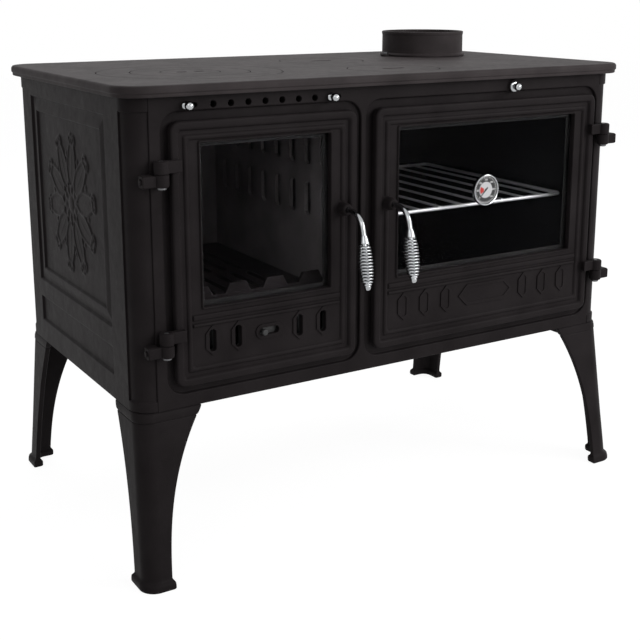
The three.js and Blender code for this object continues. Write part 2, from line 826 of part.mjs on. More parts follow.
const linerTop = bodyTop - linerFromTop;
const grateTop = bodyBottom + grateHeight + grateWall;
const ledgeTop = bodyBottom + grateHeight - fitGap;

function linerSlots(from, to) {
  const count = Math.floor((to - from - linerSlotWidth) / linerSlotPitch);
  const first = (from + to) / 2 - ((count - 1) * linerSlotPitch) / 2;
  return linerSlotRows.flatMap((row) => Array.from({ length: count }, (_, i) =>
    slotShape(first + i * linerSlotPitch, linerTop - row, linerSlotWidth, linerSlotLength)));
}

for (const [side, face, sign] of [['left', fireLeft, -1], ['right', fireRight, 1]]) {
  const from = Math.min(face, face + sign * linerWall);
  const wall = roundedShape({ left: fireFrontY, right: fireBackY, bottom: innerBottom, top: linerTop }, 0.5);
  wall.holes = linerSlots(fireFrontY, fireBackY);
  const ledgeFrom = Math.min(face - sign * ledgeWidth, face + sign);
  const ledge = block(
    ledgeFrom, ledgeFrom + ledgeWidth + 1, fireFrontY, fireBackY, ledgeTop - ledgeHeight, ledgeTop);
  place(`firebox_${side}_liner`, castIron, joined(alongX(wall, from, from + linerWall, 1), ledge));
}
const backLiner = roundedShape({
  left: fireLeft - linerWall, right: fireRight + linerWall, bottom: innerBottom, top: linerTop,
}, 0.5);
backLiner.holes = linerSlots(fireLeft, fireRight);
place('firebox_back_liner', castIron,
  alongY(backLiner, fireBackY + fitGap, fireBackY + fitGap + linerWall, 1));

place('divider', castIron, block(
  gapX - linerWall / 2, gapX + linerWall / 2,
  frameBackY + fitGap, plateBackY, innerBottom, bodyTop - dividerFromTop));

const grateLeft = fireLeft + fitGap;
const grateRight = fireRight - fitGap;
const grateShape = roundedShape({
  left: grateLeft, right: grateRight, bottom: fireFrontY, top: fireBackY,
}, 2);
const grateMargin = grateBarWidth + ledgeWidth;
const gratePitch = grateSlotWidth + grateBarWidth;
const grateCount = Math.floor((grateRight - grateLeft - grateMargin * 2) / gratePitch);
const grateFirst = (grateLeft + grateRight) / 2 - ((grateCount - 1) * gratePitch) / 2;
const grateHalfLength = (fireDepth - grateMargin * 3) / 2;
for (let i = 0; i < grateCount; i += 1) {
  for (const sign of [-1, 1]) {
    const y = (fireFrontY + fireBackY) / 2 + sign * (grateHalfLength + grateMargin) / 2;
    grateShape.holes.push(
      slotShape(grateFirst + i * gratePitch, y, grateSlotWidth, grateHalfLength));
  }
}
place('fire_grate', castIron, alongZ(grateShape, grateTop - grateWall, grateTop, 1));

// The guard's top edge: flat-topped teeth with sloping sides
const guardLeft = grateLeft;
const guardRight = grateRight;
const guardZ = bodyBottom + guardTop;
const guardShape = new THREE.Shape();
guardShape.moveTo(guardLeft, grateTop + fitGap);
guardShape.lineTo(guardRight, grateTop + fitGap);
guardShape.lineTo(guardRight, guardZ - guardTooth);
const toothCount = Math.floor((guardRight - guardLeft) / guardPitch);
const toothFirst = (guardLeft + guardRight) / 2 + ((toothCount - 1) * guardPitch) / 2;
for (let i = 0; i < toothCount; i += 1) {
  const x = toothFirst - i * guardPitch;
  guardShape.lineTo(x + guardToothTop / 2 + guardToothSlope, guardZ - guardTooth);
  guardShape.lineTo(x + guardToothTop / 2, guardZ);
  guardShape.lineTo(x - guardToothTop / 2, guardZ);
  guardShape.lineTo(x - guardToothTop / 2 - guardToothSlope, guardZ - guardTooth);
}
guardShape.lineTo(guardLeft, guardZ - guardTooth);
const guardY = fireFrontY + guardWall;
place('log_guard', castIron, alongY(guardShape, guardY, guardY + guardWall));

// ---- Ash pan on the base plate's runners ----

const panBox = {
  left: fireDoor.opening.left + panClearance, right: fireDoor.opening.right - panClearance,
  bottom: fireFrontY + panSetback - guardSetback, top: fireFrontY + panSetback - guardSetback + panDepth,
};
const panBottom = runnerTop;
const panTop = panBottom + panHeight;
const panMiddle = (panBox.left + panBox.right) / 2;
place('ash_pan', sheetSteel, cut(
  joined(
    alongZ(roundedShape(panBox, 6), panBottom, panTop),
    block(
      panMiddle - panTabWidth / 2, panMiddle + panTabWidth / 2,
      panBox.bottom - panTabReach, panBox.bottom + panWall, panTop - panWall * 4, panTop - panWall * 2)),
  alongZ(roundedShape({
    left: panBox.left + panWall, right: panBox.right - panWall,
    bottom: panBox.bottom + panWall, top: panBox.top - panWall,
  }, 6 - panWall), panBottom + panWall, panTop + 1)));

// ---- Oven: open-fronted liner with two rack ledges, and the wire rack ----

const rackZ = bodyBottom + rackHeight;
const ledgeZ = rackZ - rackFrameRadius - fitGap;
const latchZ = bodyTop - handleFromTop;
const ovenOuter = block(
  ovenLeft - ovenWall, ovenRight + ovenWall, ovenFrontY, ovenBackY + ovenWall,
  ovenBottom - ovenWall, ovenTop + ovenWall);
const ovenInner = block(ovenLeft, ovenRight, ovenFrontY - 1, ovenBackY, ovenBottom, ovenTop);
const rackLedges = [ovenLeft - 1, ovenRight - rackLedgeWidth + 1].map((x) => block(
  x, x + rackLedgeWidth, ovenFrontY + rackSetback, ovenBackY - rackSetback,
  ledgeZ - rackLedgeWall, ledgeZ));
const latchNotch = block(
  ovenLeft - ovenWall - 1, ovenLeft + 1, ovenFrontY - 1, ovenFrontY + latchNotchDepth,
  latchZ - latchLength - latchWidth / 2, latchZ + latchWidth);
place('oven_liner', enamel,
  cut(rackLedges.map(solid).reduce((whole, ledge) => whole.add(ledge), cut(solid(ovenOuter), ovenInner)),
    latchNotch));

const rackLeft = ovenDoor.opening.left + rackClearance + rackFrameRadius;
const rackRight = ovenDoor.opening.right - rackClearance - rackFrameRadius;
const rackFrontY = ovenFrontY + rackSetback;
const rackBackY = rackFrontY + rackDepth;
const rackWires = [
  rodAlongX(rackFrontY, rackZ, rackFrameRadius, rackLeft - rackFrameRadius, rackRight + rackFrameRadius, 8),
  rodAlongX(rackBackY, rackZ, rackFrameRadius, rackLeft - rackFrameRadius, rackRight + rackFrameRadius, 8),
  rodAlongY(rackLeft, rackZ, rackFrameRadius, rackFrontY, rackBackY, 8),
  rodAlongY(rackRight, rackZ, rackFrameRadius, rackFrontY, rackBackY, 8),
];
for (let i = 1; i <= rackWireCount; i += 1) {
  const x = rackLeft + ((rackRight - rackLeft) * i) / (rackWireCount + 1);
  rackWires.push(rodAlongY(x, rackZ + rackWireRadius, rackWireRadius, rackFrontY, rackBackY, 6));
}
place('oven_rack', chrome, joined(...rackWires));

// ---- Damper: plate on the oven's top, pulled by a rod through the top rail ----

const damperPlateZ = ovenTop + ovenWall + fitGap;
const damperBack = frontY + damperRodLength;
const damperLug = block(
  damperX - damperLugWidth / 2, damperX + damperLugWidth / 2,
  damperBack - damperPlateWall, damperBack, damperPlateZ, railZ + damperLugWidth / 2);
place('damper_plate', castIron, cut(
  joined(
    block(
      damperX - damperPlateWidth / 2, damperX + damperPlateWidth / 2,
      damperBack - damperPlateWall, damperBack + damperPlateDepth,
      damperPlateZ, damperPlateZ + damperPlateWall),
    damperLug),
  rodAlongY(damperX, railZ, damperRodRadius + fitGap, damperBack - damperPlateWall - 1, damperBack + 1, 12)));
const damperFaceY = damperBossY - damperKnobRadius * 2 - damperRodRadius / 2;
place('damper_rod', chrome, joined(
  knob(damperX, railZ, damperFaceY, damperBack + damperNutWall, damperKnobRadius, damperRodRadius, 12),
  rodAlongY(
    damperX, railZ, damperRodRadius * 2, damperBack + fitGap, damperBack + fitGap + damperNutWall, 6)));

// ---- Top air slider: a bar behind the rail's holes, moved by a knob at each end ----

const railBarX = [railKnobX[0] - railBarHeight / 2, railKnobX[1] + railBarHeight / 2];
const railBarY = frameBackY + fitGap;
const railBar = cut(
  solid(block(
    railBarX[0], railBarX[1], railBarY, railBarY + railBarWall,
    railZ - railBarHeight / 2, railZ + railBarHeight / 2)),
  ...railHoleX.map((x) =>
    rodAlongY(x, railZ, railHoleRadius, railBarY - 1, railBarY + railBarWall + 1, 8)));
const railKnobs = railKnobX.map((x) => solid(
  knob(x, railZ, frontY - railKnobReach, railBarY + 1, railKnobRadius, railShankRadius, 12)));
place('top_air_slider', chrome, railKnobs.reduce((whole, piece) => whole.add(piece), railBar));

// ---- Doors ----

// A raised or sunk frame: the band between two rounded boxes
function bandShape(box, width, radius) {
  const shape = roundedShape(box, radius);
  shape.holes = [roundedShape(inset(box, width), Math.max(radius - width, 1))];
  return shape;
}

function hingeKnuckle(door, jointZ) {
  const z0 = jointZ + fitGap;
  const z1 = z0 + doorKnuckleHeight;
  const edge = door.pinX - door.hingeSide * (pinOffset + rimWidth);
  const armFrom = Math.min(door.pinX, edge);
  return [
    rodAlongZ(door.pinX, pinY, knuckleRadius, z0, z1, 16),
    block(armFrom, armFrom + pinOffset + rimWidth, pinY - bracketWall / 2, rimY + rimHeight / 2, z0, z1),
  ];
}

function doorCasting(door, padShapes) {
  const pads = padShapes.map((shape) => alongY(shape, doorFaceY - slotPadHeight, doorFaceY + 1));
  const hubBaseY = doorFaceY + 1;
  const hub = turnedAlongY(door.handleX, latchZ, [
    [0, rimY - hubLength], [hubRadius - hubTaper, rimY - hubLength], [hubRadius, rimY], [hubRadius, hubBaseY],
    [0, hubBaseY],
  ], 16);
  const parts = [
    alongY(roundedShape(door, doorCornerRadius), doorFaceY, doorBackY, 2),
    alongY(bandShape(door, rimWidth, doorCornerRadius), rimY, doorFaceY + 1, 2),
    alongY(bandShape(inset(door, ridgeInset), ridgeWidth, doorCornerRadius / 2),
      doorFaceY - ridgeHeight, doorFaceY + 1, 1),
    alongY(
      bandShape(inset(door.window, -windowLip), windowLip, 2), doorFaceY - windowLipHeight, doorFaceY + 1, 1),
    hub,
    ...pads,
    ...hingeLevels.flatMap(([, jointZ]) => hingeKnuckle(door, jointZ)),
  ];
  return cut(
    joined(...parts),
    alongY(roundedShape(door.window, 2), rimY - hubLength - 1, doorBackY + 1, 1),
    rodAlongY(door.handleX, latchZ, rodRadius + rodClearance, rimY - hubLength - 1, doorBackY + 1, 12),
    ...hingeLevels.map(([, jointZ]) => rodAlongZ(
      door.pinX, pinY, pinRadius + pinClearance, jointZ - 1, jointZ + doorKnuckleHeight + 2, 12)));
}

const airZ = bodyBottom + airSlotHeight;
const airOffsets = [-airSlotInner - airSlotPitch, -airSlotInner, airSlotInner, airSlotInner + airSlotPitch];
const sliderPad = stadiumShape(fireDoor.middle, airZ, slotPadLength, slotPadWidth);
const sliderSlotLength = sliderKnobRadius * 2 + sliderTravel + fitGap * 2;
const firePads = airOffsets.map((dx) =>
  pointedShape(fireDoor.middle + dx, airZ, slotPadWidth, slotPadLength));
const fireCuts = [
  ...airOffsets.map((dx) => alongY(
    slotShape(fireDoor.middle + dx, airZ, airSlotWidth, airSlotLength), rimY, doorBackY + 1, 1)),
  alongY(stadiumShape(fireDoor.middle, airZ, sliderSlotLength, sliderSlotWidth), rimY, doorBackY + 1),
];

// Guides on the back of the firebox door hold the slider above and below
const sliderY = doorBackY + fitGap;
const guideLeft = fireDoor.middle + airOffsets[0] - airSlotWidth - sliderMargin;
const guideRight = fireDoor.middle + airOffsets[3] + airSlotWidth + sliderMargin + sliderTravel;
const guides = [-1, 1].flatMap((sign) => {
  const edge = airZ + sign * (sliderWidth / 2 + fitGap);
  const bar = [Math.min(edge, edge + sign * sliderWall), Math.max(edge, edge + sign * sliderWall)];
  const lip = [Math.min(edge - sign * sliderWall, bar[1]), Math.max(edge - sign * sliderWall, bar[0])];
  const lipY = sliderY + sliderWall + fitGap;
  return [
    block(guideLeft, guideRight, doorBackY - 1, lipY + panWall, bar[0], bar[1]),
    block(guideLeft, guideRight, lipY, lipY + panWall, Math.min(bar[0], lip[0]), Math.max(bar[1], lip[1])),
  ];
});
const fireCasting = cut(doorCasting(fireDoor, [...firePads, sliderPad]), ...fireCuts);
place('firebox_door', castIron, guides.map(solid).reduce((whole, guide) => whole.add(guide), fireCasting));

const sliderKnobX = fireDoor.middle - sliderTravel / 2;
const sliderPlate = {
  left: guideLeft, right: guideRight - sliderTravel,
  bottom: airZ - sliderWidth / 2, top: airZ + sliderWidth / 2,
};
const sliderPlateShape = roundedShape(sliderPlate, 1);
sliderPlateShape.holes = airOffsets.map((dx) =>
  slotShape(fireDoor.middle + dx, airZ, airSlotWidth, airSlotLength));
place('door_air_slider', chrome, joined(
  alongY(sliderPlateShape, sliderY, sliderY + sliderWall, 1),
  rodAlongY(sliderKnobX, airZ, sliderKnobRadius, doorFaceY - sliderKnobLength, sliderY + 1, 14)));

const ovenPads = [-1, 1].flatMap((sign) => [0, 1, 2].map((i) => pointedShape(
  ovenDoor.middle + sign * (ovenSlotInner + i * ovenSlotPitch), airZ, slotPadWidth, slotPadLength)));
const cartouche = pointedShape(ovenDoor.middle, airZ, cartoucheWidth, cartoucheLength);
const ovenSinks = [-1, 1].flatMap((sign) => [0, 1, 2].map((i) => alongY(slotShape(
  ovenDoor.middle + sign * (ovenSlotInner + i * ovenSlotPitch), airZ, airSlotWidth, airSlotLength),
rimY, doorFaceY + slotPadHeight / 2, 1)));
place('oven_door', castIron, cut(doorCasting(ovenDoor, [...ovenPads, cartouche]), ...ovenSinks));

// Glass, its holding frame, and the rope seal of each door
const glassY = doorBackY + fitGap;
const holderY = glassY + glassWall + fitGap;
const dialX = ovenDoor.middle + dialOffset;
const dialZ = (ovenDoor.window.bottom + ovenDoor.window.top) / 2 + dialRise;
for (const door of [fireDoor, ovenDoor]) {
  const paneShape = roundedShape(inset(door.window, -glassLap), 2);
  if (door === ovenDoor) {
    paneShape.holes = [stadiumShape(
      dialX, dialZ, (dialStemRadius + fitGap) * 2, (dialStemRadius + fitGap) * 2)];
  }
  place(`${door.name}_glass`, pane, alongY(paneShape, glassY, glassY + glassWall));
  place(`${door.name}_glass_frame`, sheetSteel, alongY(
    bandShape(inset(door.window, -glassLap), glassHolderWidth, 3), holderY, holderY + glassHolderWall));
  const sealInset = (doorLap - gasketWidth) / 2;
  place(`${door.name}_gasket`, rope, alongY(
    bandShape(inset(door, sealInset), gasketWidth, doorCornerRadius - sealInset),
    doorBackY + fitGap, recessY - fitGap));
}

// ---- Hinge brackets on the body, and lift-off pins ----

for (const door of [fireDoor, ovenDoor]) {
  const side = door.hingeSide < 0 ? 'left' : 'right';
  for (const [level, z1] of hingeLevels) {
    const z0 = z1 - bodyKnuckleHeight;
    const reach = Math.min(door.pinX, door.pinX + door.hingeSide * bracketReach);
    const footFrom = door.pinX + door.hingeSide * (bracketReach - bracketHeight);
    const foot = Math.min(footFrom, footFrom + door.hingeSide * bracketHeight);
    place(`${side}_${level}_hinge_bracket`, castIron, cut(
      joined(
        rodAlongZ(door.pinX, pinY, knuckleRadius, z0, z1, 16),
        block(reach, reach + bracketReach, pinY - bracketWall / 2, pinY + bracketWall / 2, z0, z1),
        block(foot, foot + bracketHeight, pinY - bracketWall / 2, frontY - fitGap, z0, z1)),
      rodAlongZ(door.pinX, pinY, pinRadius + fitGap, z0 - 1, z1 + 1, 12)));
    const headZ = z0 - fitGap;
    place(`${side}_${level}_hinge_pin`, sheetSteel, joined(
      rodAlongZ(door.pinX, pinY, pinRadius, headZ - 1, z1 + doorKnuckleHeight, 12),
      rodAlongZ(door.pinX, pinY, pinRadius * 1.6, headZ - pinRadius * 0.75, headZ, 12)));
  }
}

// ---- Handles: a bent rod through the hub, with a wound wire grip and a latch behind the frame ----

const hubFaceY = rimY - hubLength;
const slope = (gripSlope * Math.PI) / 180;
const latchY = frameBackY + latchGap;
const gripTop = new THREE.Vector3(0, hubFaceY - handleReach + handleBend, latchZ);
const down = new THREE.Vector3(0, -Math.sin(slope), -Math.cos(slope));
const bendCorner = gripTop.clone().add(new THREE.Vector3(0, -handleBend, 0));
const bendEnd = bendCorner.clone().addScaledVector(down, handleBend);

const alongGrip = (distance) => bendEnd.clone().addScaledVector(down, distance);
const coilStart = collarLength + fitGap;
const coilEnd = coilStart + coilLength;
const nutStart = coilEnd + fitGap;
const sideways = new THREE.Vector3(1, 0, 0);

// One bar: spindle, bend, cone above the grip, the length inside the grip, and the nut that ends it
const bendCurve = new THREE.QuadraticBezierCurve3(gripTop, bendCorner, bendEnd);
const bendSteps = 6;
const outward = new THREE.Vector3(0, -1, 0);
const rodStations = [
  { at: new THREE.Vector3(0, latchY - fitGap, latchZ), along: outward, radius: rodRadius },
  ...Array.from({ length: bendSteps + 1 }, (_, i) => ({
    at: bendCurve.getPoint(i / bendSteps), along: bendCurve.getTangent(i / bendSteps), radius: rodRadius,
  })),
  { at: alongGrip(0.01), along: down, radius: rodRadius + 1 },
  { at: alongGrip(collarLength - 0.01), along: down, radius: collarRadius },
  { at: alongGrip(collarLength), along: down, radius: rodRadius },
  { at: alongGrip(nutStart), along: down, radius: rodRadius },
  { at: alongGrip(nutStart + 0.01), along: down, radius: gripNutRadius },
  { at: alongGrip(nutStart + gripNutLength * 0.7), along: down, radius: gripNutRadius },
  { at: alongGrip(nutStart + gripNutLength), along: down, radius: gripNutRadius * 0.6 },
];
const rodGeometry = sweptTube(rodStations, 12, sideways);

// The grip's wire: one open helix round the bar, full in the middle and drawn in at both ends
const coilSteps = coilTurns * 8;
const coilPoints = Array.from({ length: coilSteps + 1 }, (_, i) => {
  const wound = i / coilSteps;
  const radius = coilEndRadius + (coilMidRadius - coilEndRadius) * Math.sin(Math.PI * wound) ** 0.7;
  const angle = wound * coilTurns * Math.PI * 2;
  return alongGrip(coilStart + coilWire / 2 + (coilLength - coilWire) * wound)
    .addScaledVector(sideways, radius * Math.cos(angle))
    .addScaledVector(sideways.clone().cross(down), radius * Math.sin(angle));
});
// each end runs straight on for one wire's thickness
const coilLead = coilPoints[0].clone().sub(coilPoints[1]).setLength(coilWire).add(coilPoints[0]);
const coilTail = coilPoints[coilSteps].clone().sub(coilPoints[coilSteps - 1]).setLength(coilWire)
  .add(coilPoints[coilSteps]);
coilPoints.unshift(coilLead);
coilPoints.push(coilTail);
const coilGeometry = sweptTube(coilPoints.map((at, i) => ({
  at, radius: coilWire / 2,
  along: coilPoints[Math.min(i + 1, coilPoints.length - 1)].clone()
    .sub(coilPoints[Math.max(i - 1, 0)]).normalize(),
})), 5, down);
let leastGap = Infinity;
coilPoints.forEach((point, i) => {
  for (let j = i + 6; j < coilPoints.length; j += 1) {
    leastGap = Math.min(leastGap, point.distanceTo(coilPoints[j]) - coilWire);
  }
});
console.log(`grip wire: least gap between its turns ${leastGap.toFixed(2)} mm`);

for (const door of [fireDoor, ovenDoor]) {
  const prefix = door === fireDoor ? 'firebox' : 'oven';
  place(`${prefix}_handle_rod`, chrome, rodGeometry).position.x = door.handleX;
  place(`${prefix}_handle_coil`, chrome, coilGeometry).position.x = door.handleX;
  const tip = door.handleX - door.hingeSide * latchLength;
  const root = door.handleX + (door.hingeSide * latchWidth) / 2;
  const latchShape = stadiumShape((root + tip) / 2, latchZ, latchLength + latchWidth / 2, latchWidth);
  place(`${prefix}_latch`, sheetSteel, alongY(latchShape, latchY, latchY + latchWall));
}

// ---- Thermometer on the oven glass ----

const dialBackY = glassY - fitGap;
const dialFrontY = dialBackY - dialDepth;
const dialDish = cut(
  solid(rodAlongY(dialX, dialZ, dialRadius, dialFrontY, dialBackY, 32)),
  rodAlongY(dialX, dialZ, dialRadius - dialBezel, dialFrontY - 1, dialFrontY + dialDepth / 2, 32));
const stemEnd = glassY + glassWall + dialDepth;
place('thermometer_case', dialWhite, dialDish.add(
  solid(rodAlongY(dialX, dialZ, dialStemRadius, dialBackY - 1, stemEnd, 12))));
const needleY = dialFrontY + dialDepth / 2 - 1.5;
const needle = joined(
  rodAlongY(0, 0, 3, 0, 1.2, 12),
  block(-1, 1, 0.2, 1, -4, needleLength));
const needleMesh = place('thermometer_needle', castIron, needle);
needleMesh.position.set(dialX, needleY, dialZ);
needleMesh.rotation.y = (-needleColdAngle * Math.PI) / 180;
place('thermometer_nut', sheetSteel, cut(
  solid(rodAlongY(dialX, dialZ, dialStemRadius * 2, glassY + glassWall + fitGap, stemEnd - 1, 6)),
  rodAlongY(dialX, dialZ, dialStemRadius + fitGap, glassY + glassWall, stemEnd, 12)));

// ---- The origin: on the floor, in the middle of the whole object ----

const extent = new THREE.Box3().setFromObject(stove);
stove.position.y = -(extent.min.y + extent.max.y) / 2;
stove.position.x = -(extent.min.x + extent.max.x) / 2;
console.log(`moved by ${stove.position.x.toFixed(3)}, ${stove.position.y.toFixed(3)}`);

const group = new THREE.Group();
group.add(stove);

export default group;
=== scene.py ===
import math

import bmesh
import bpy
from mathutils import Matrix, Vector


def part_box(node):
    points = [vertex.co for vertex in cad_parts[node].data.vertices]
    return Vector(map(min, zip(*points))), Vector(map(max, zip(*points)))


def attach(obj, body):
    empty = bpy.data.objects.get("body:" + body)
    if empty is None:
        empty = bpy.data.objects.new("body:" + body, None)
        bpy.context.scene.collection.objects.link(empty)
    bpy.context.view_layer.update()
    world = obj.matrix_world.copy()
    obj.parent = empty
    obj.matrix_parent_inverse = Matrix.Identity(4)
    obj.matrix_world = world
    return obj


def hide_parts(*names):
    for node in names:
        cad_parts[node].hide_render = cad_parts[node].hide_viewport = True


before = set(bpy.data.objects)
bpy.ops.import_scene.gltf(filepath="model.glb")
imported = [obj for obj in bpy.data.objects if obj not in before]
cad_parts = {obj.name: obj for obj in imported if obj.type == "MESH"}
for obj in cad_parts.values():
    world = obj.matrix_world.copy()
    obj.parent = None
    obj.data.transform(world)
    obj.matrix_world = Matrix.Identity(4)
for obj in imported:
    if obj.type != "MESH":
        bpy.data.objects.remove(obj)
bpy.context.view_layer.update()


# ---- Camera, lamps and floor ----
# The camera stands left of the stove's middle and a little above its cooktop, as the photograph's does.
# One large soft lamp stands high on the left, a weaker one on the right, and a pale room lights the rest.

camera_data = bpy.data.cameras.new("camera")
camera_data.lens = 62.39
camera_data.shift_y = -0.12
camera = bpy.data.objects.new("camera", camera_data)
camera.location = (-0.9638, -1.5582, 0.8206)
camera.rotation_euler = (math.radians(77.05), 0, math.radians(-31.46))
bpy.context.scene.collection.objects.link(camera)
bpy.context.scene.camera = camera
bpy.context.scene.view_settings.view_transform = "Standard"

for lamp_name, lamp_place, lamp_size, lamp_power in [
    ("left_lamp", (-2.0, -2.0, 2.4), 1.2, 8),
    ("front_lamp", (1.0, -3.0, 1.3), 1.4, 38),
    ("right_lamp", (2.2, -1.9, 1.9), 1.1, 34),
    ("top_lamp", (0.3, 1.2, 2.8), 1.5, 24),
]:
    lamp_data = bpy.data.lights.new(lamp_name, "AREA")
    lamp_data.size = lamp_size
    lamp_data.energy = lamp_power
    lamp = bpy.data.objects.new(lamp_name, lamp_data)
    lamp.location = lamp_place
    lamp.rotation_euler = (Vector((0, 0, 0.4)) - Vector(lamp_place)).to_track_quat("-Z", "Y").to_euler()
    bpy.context.scene.collection.objects.link(lamp)


def add_node(tree, kind, inputs, operation=None):
    """A new node, with each input linked from another node's output or set to a value."""
    node = tree.nodes.new(kind)
    if operation:
        node.operation = operation
    for socket, value in inputs.items():
        if hasattr(value, "is_output"):
            tree.links.new(value, node.inputs[socket])
        else:
            node.inputs[socket].default_value = value
    return node


def math_node(tree, operation, *values):
    return add_node(tree, "ShaderNodeMath", dict(enumerate(values)), operation).outputs[0]


def seen_directly(tree):
    """1 for rays from the camera, a mirror or glass, and 0 for the light that falls on things."""
    path = tree.nodes.new("ShaderNodeLightPath").outputs
    mirrored = math_node(tree, "MAXIMUM", path["Is Camera Ray"], path["Is Glossy Ray"])
    return math_node(tree, "MAXIMUM", mirrored, path["Is Transmission Ray"])


world = bpy.data.worlds.new("pale_room")
bpy.context.scene.world = world
world.use_nodes = True
room = world.node_tree
room_light = room.nodes["Background"]
room_light.inputs["Color"].default_value = (1, 1, 1, 1)
room_light.inputs["Strength"].default_value = 0.3
white_wall = add_node(room, "ShaderNodeBackground", {"Color": (1, 1, 1, 1)})
wall_mix = add_node(room, "ShaderNodeMixShader", {
    0: seen_directly(room), 1: room_light.outputs[0], 2: white_wall.outputs[0]})
room.links.new(wall_mix.outputs[0], room.nodes["World Output"].inputs["Surface"])

floor_bm = bmesh.new()
bmesh.ops.create_grid(floor_bm, x_segments=2, y_segments=2, size=9)
floor_mesh = bpy.data.meshes.new("floor")
floor_bm.to_mesh(floor_mesh)
floor_bm.free()
floor = bpy.data.objects.new("floor", floor_mesh)
bpy.context.scene.collection.objects.link(floor)
floor_finish = bpy.data.materials.new("pale_floor")
floor_finish.use_nodes = True
floor_tree = floor_finish.node_tree
floor_paint = floor_tree.nodes["Principled BSDF"]
floor_paint.inputs["Base Color"].default_value = (0.62, 0.62, 0.62, 1)
floor_paint.inputs["Roughness"].default_value = 0.9
floor_glow = add_node(floor_tree, "ShaderNodeEmission", {"Strength": 1.18})
floor_mix = add_node(floor_tree, "ShaderNodeMixShader", {0: math_node(floor_tree, "MULTIPLY",
    seen_directly(floor_tree), 0.8), 1: floor_paint.outputs[0], 2: floor_glow.outputs[0]})
floor_tree.links.new(floor_mix.outputs[0], floor_tree.nodes["Material Output"].inputs["Surface"])
floor_mesh.materials.append(floor_finish)


# ---- Front frame ----
# The cast-iron front of the body: two shallow recesses, each round a door opening, a rail above them with
# seven air holes and the slots of two knobs, and a boss that the damper's rod runs through.

def rounded(box, radius, steps=6):
    """A box (left, right, low, high) with rounded corners, as points going round it once."""
    left, right, low, high = box
    r = max(min(radius, (right - left) / 2 - 1e-5, (high - low) / 2 - 1e-5), 1e-4)
    points = []
    for u, v, start in [(right - r, low + r, -90), (right - r, high - r, 0),
                        (left + r, high - r, 90), (left + r, low + r, 180)]:
        for i in range(steps + 1):
            angle = math.radians(start + 90 * i / steps)
            points.append((u + r * math.cos(angle), v + r * math.sin(angle)))
    return points


def grown(box, margin):
    return (box[0] - margin, box[1] + margin, box[2] - margin, box[3] + margin)


def around(u, v, width, height):
    return (u - width / 2, u + width / 2, v - height / 2, v + height / 2)


def box_outline(box, radius, steps=6):
    """The outline of a rounded box, drawn in by any margin."""
    return lambda margin: rounded(grown(box, -margin), max(radius - margin, 1e-4), steps)


def round_outline(u, v, radius, sides=24):
    return lambda margin: [(u + (radius - margin) * math.cos(2 * math.pi * i / sides),
        v + (radius - margin) * math.sin(2 * math.pi * i / sides)) for i in range(sides)]


def in_space(axis, u, v, w):
    return {"x": (w, u, v), "y": (u, w, v), "z": (u, v, w)}[axis]


def skin(bm, rings, loop=False):
    """Faces between rings of equally many points, closed flat at both ends, or into a loop."""
    made = [[bm.verts.new(point) for point in ring] for ring in rings]
    for near, far in list(zip(made, made[1:])) + ([(made[-1], made[0])] if loop else []):
        for i in range(len(near)):
            j = (i + 1) % len(near)
            bm.faces.new((near[i], near[j], far[j], far[i]))
    if not loop:
        bm.faces.new(list(reversed(made[0])))
        bm.faces.new(made[-1])


def soft_arc(radius, steps=3):
    """An edge's rounding, as (drawn in, down from the face), from the side to the face."""
    angles = [math.pi / 2 * i / steps for i in range(steps + 1)]
    return [(radius * (1 - math.cos(a)), radius * (1 - math.sin(a))) for a in angles]


def slab(bm, outline, start, end, soft, axis="y"):
    """A plate or bar between two levels, its edges softened."""
    way = math.copysign(1, end - start)
    levels = [(inward, start + way * down) for inward, down in reversed(soft_arc(soft))]
    levels += [(inward, end - way * down) for inward, down in soft_arc(soft)]
    skin(bm, [[in_space(axis, u, v, w) for u, v in outline(inward)] for inward, w in levels])


def hollow(bm, outline, mouth, floor, soft, axis="y", fillet=0.0):
    """What is cut away: a hollow with a softened mouth, and a fillet at its floor unless it goes through."""
    way = math.copysign(1, floor - mouth)
    levels = [(-soft, mouth - way * 0.002)]
    levels += [(-inward, mouth + way * down) for down, inward in soft_arc(soft)]
    if fillet:
        levels += [(inward, floor - way * down) for inward, down in soft_arc(fillet)]
    else:
        levels.append((0, floor + way * 0.002))
    skin(bm, [[in_space(axis, u, v, w) for u, v in outline(inward)] for inward, w in levels])


def turn(bm, profile, centre, axis="z", sides=48, loop=False):
    """Turns (radius, height) points round an axis through centre."""
    rings = []
    for radius, height in profile:
        ring = []
        for i in range(sides):
            angle = 2 * math.pi * i / sides
            offset = in_space(axis, radius * math.cos(angle), radius * math.sin(angle), height)
            ring.append(tuple(c + o for c, o in zip(centre, offset)))
        rings.append(ring)
    skin(bm, rings, loop)


def piece_of(bm, name):
    """A mesh object from a bmesh, with its faces pointing out."""
    bmesh.ops.remove_doubles(bm, verts=bm.verts, dist=2e-6)
    bmesh.ops.recalc_face_normals(bm, faces=bm.faces)
    mesh = bpy.data.meshes.new(name)
    bm.to_mesh(mesh)
    bm.free()
    piece = bpy.data.objects.new(name, mesh)
    bpy.context.scene.collection.objects.link(piece)
    return piece


def shaped(name, draw, *values, **more):
    """A mesh object that one of the drawing functions fills."""
    bm = bmesh.new()
    draw(bm, *values, **more)
    return piece_of(bm, name)


def settle(piece):
    """Applies the piece's modifiers, and leaves a plain mesh."""
    finished = bpy.data.meshes.new_from_object(piece.evaluated_get(bpy.context.evaluated_depsgraph_get()))
    piece.modifiers.clear()
    rough = piece.data
    piece.data = finished
    bpy.data.meshes.remove(rough)


def carve(operation, piece, draw, *values, **more):
    tool = shaped("tool", draw, *values, **more)
    step = piece.modifiers.new("carve", "BOOLEAN")
    step.operation = operation
    step.solver = "EXACT"
    step.object = tool
    settle(piece)
    bpy.data.objects.remove(tool)


def cut(piece, draw, *values, **more):
    carve("DIFFERENCE", piece, draw, *values, **more)


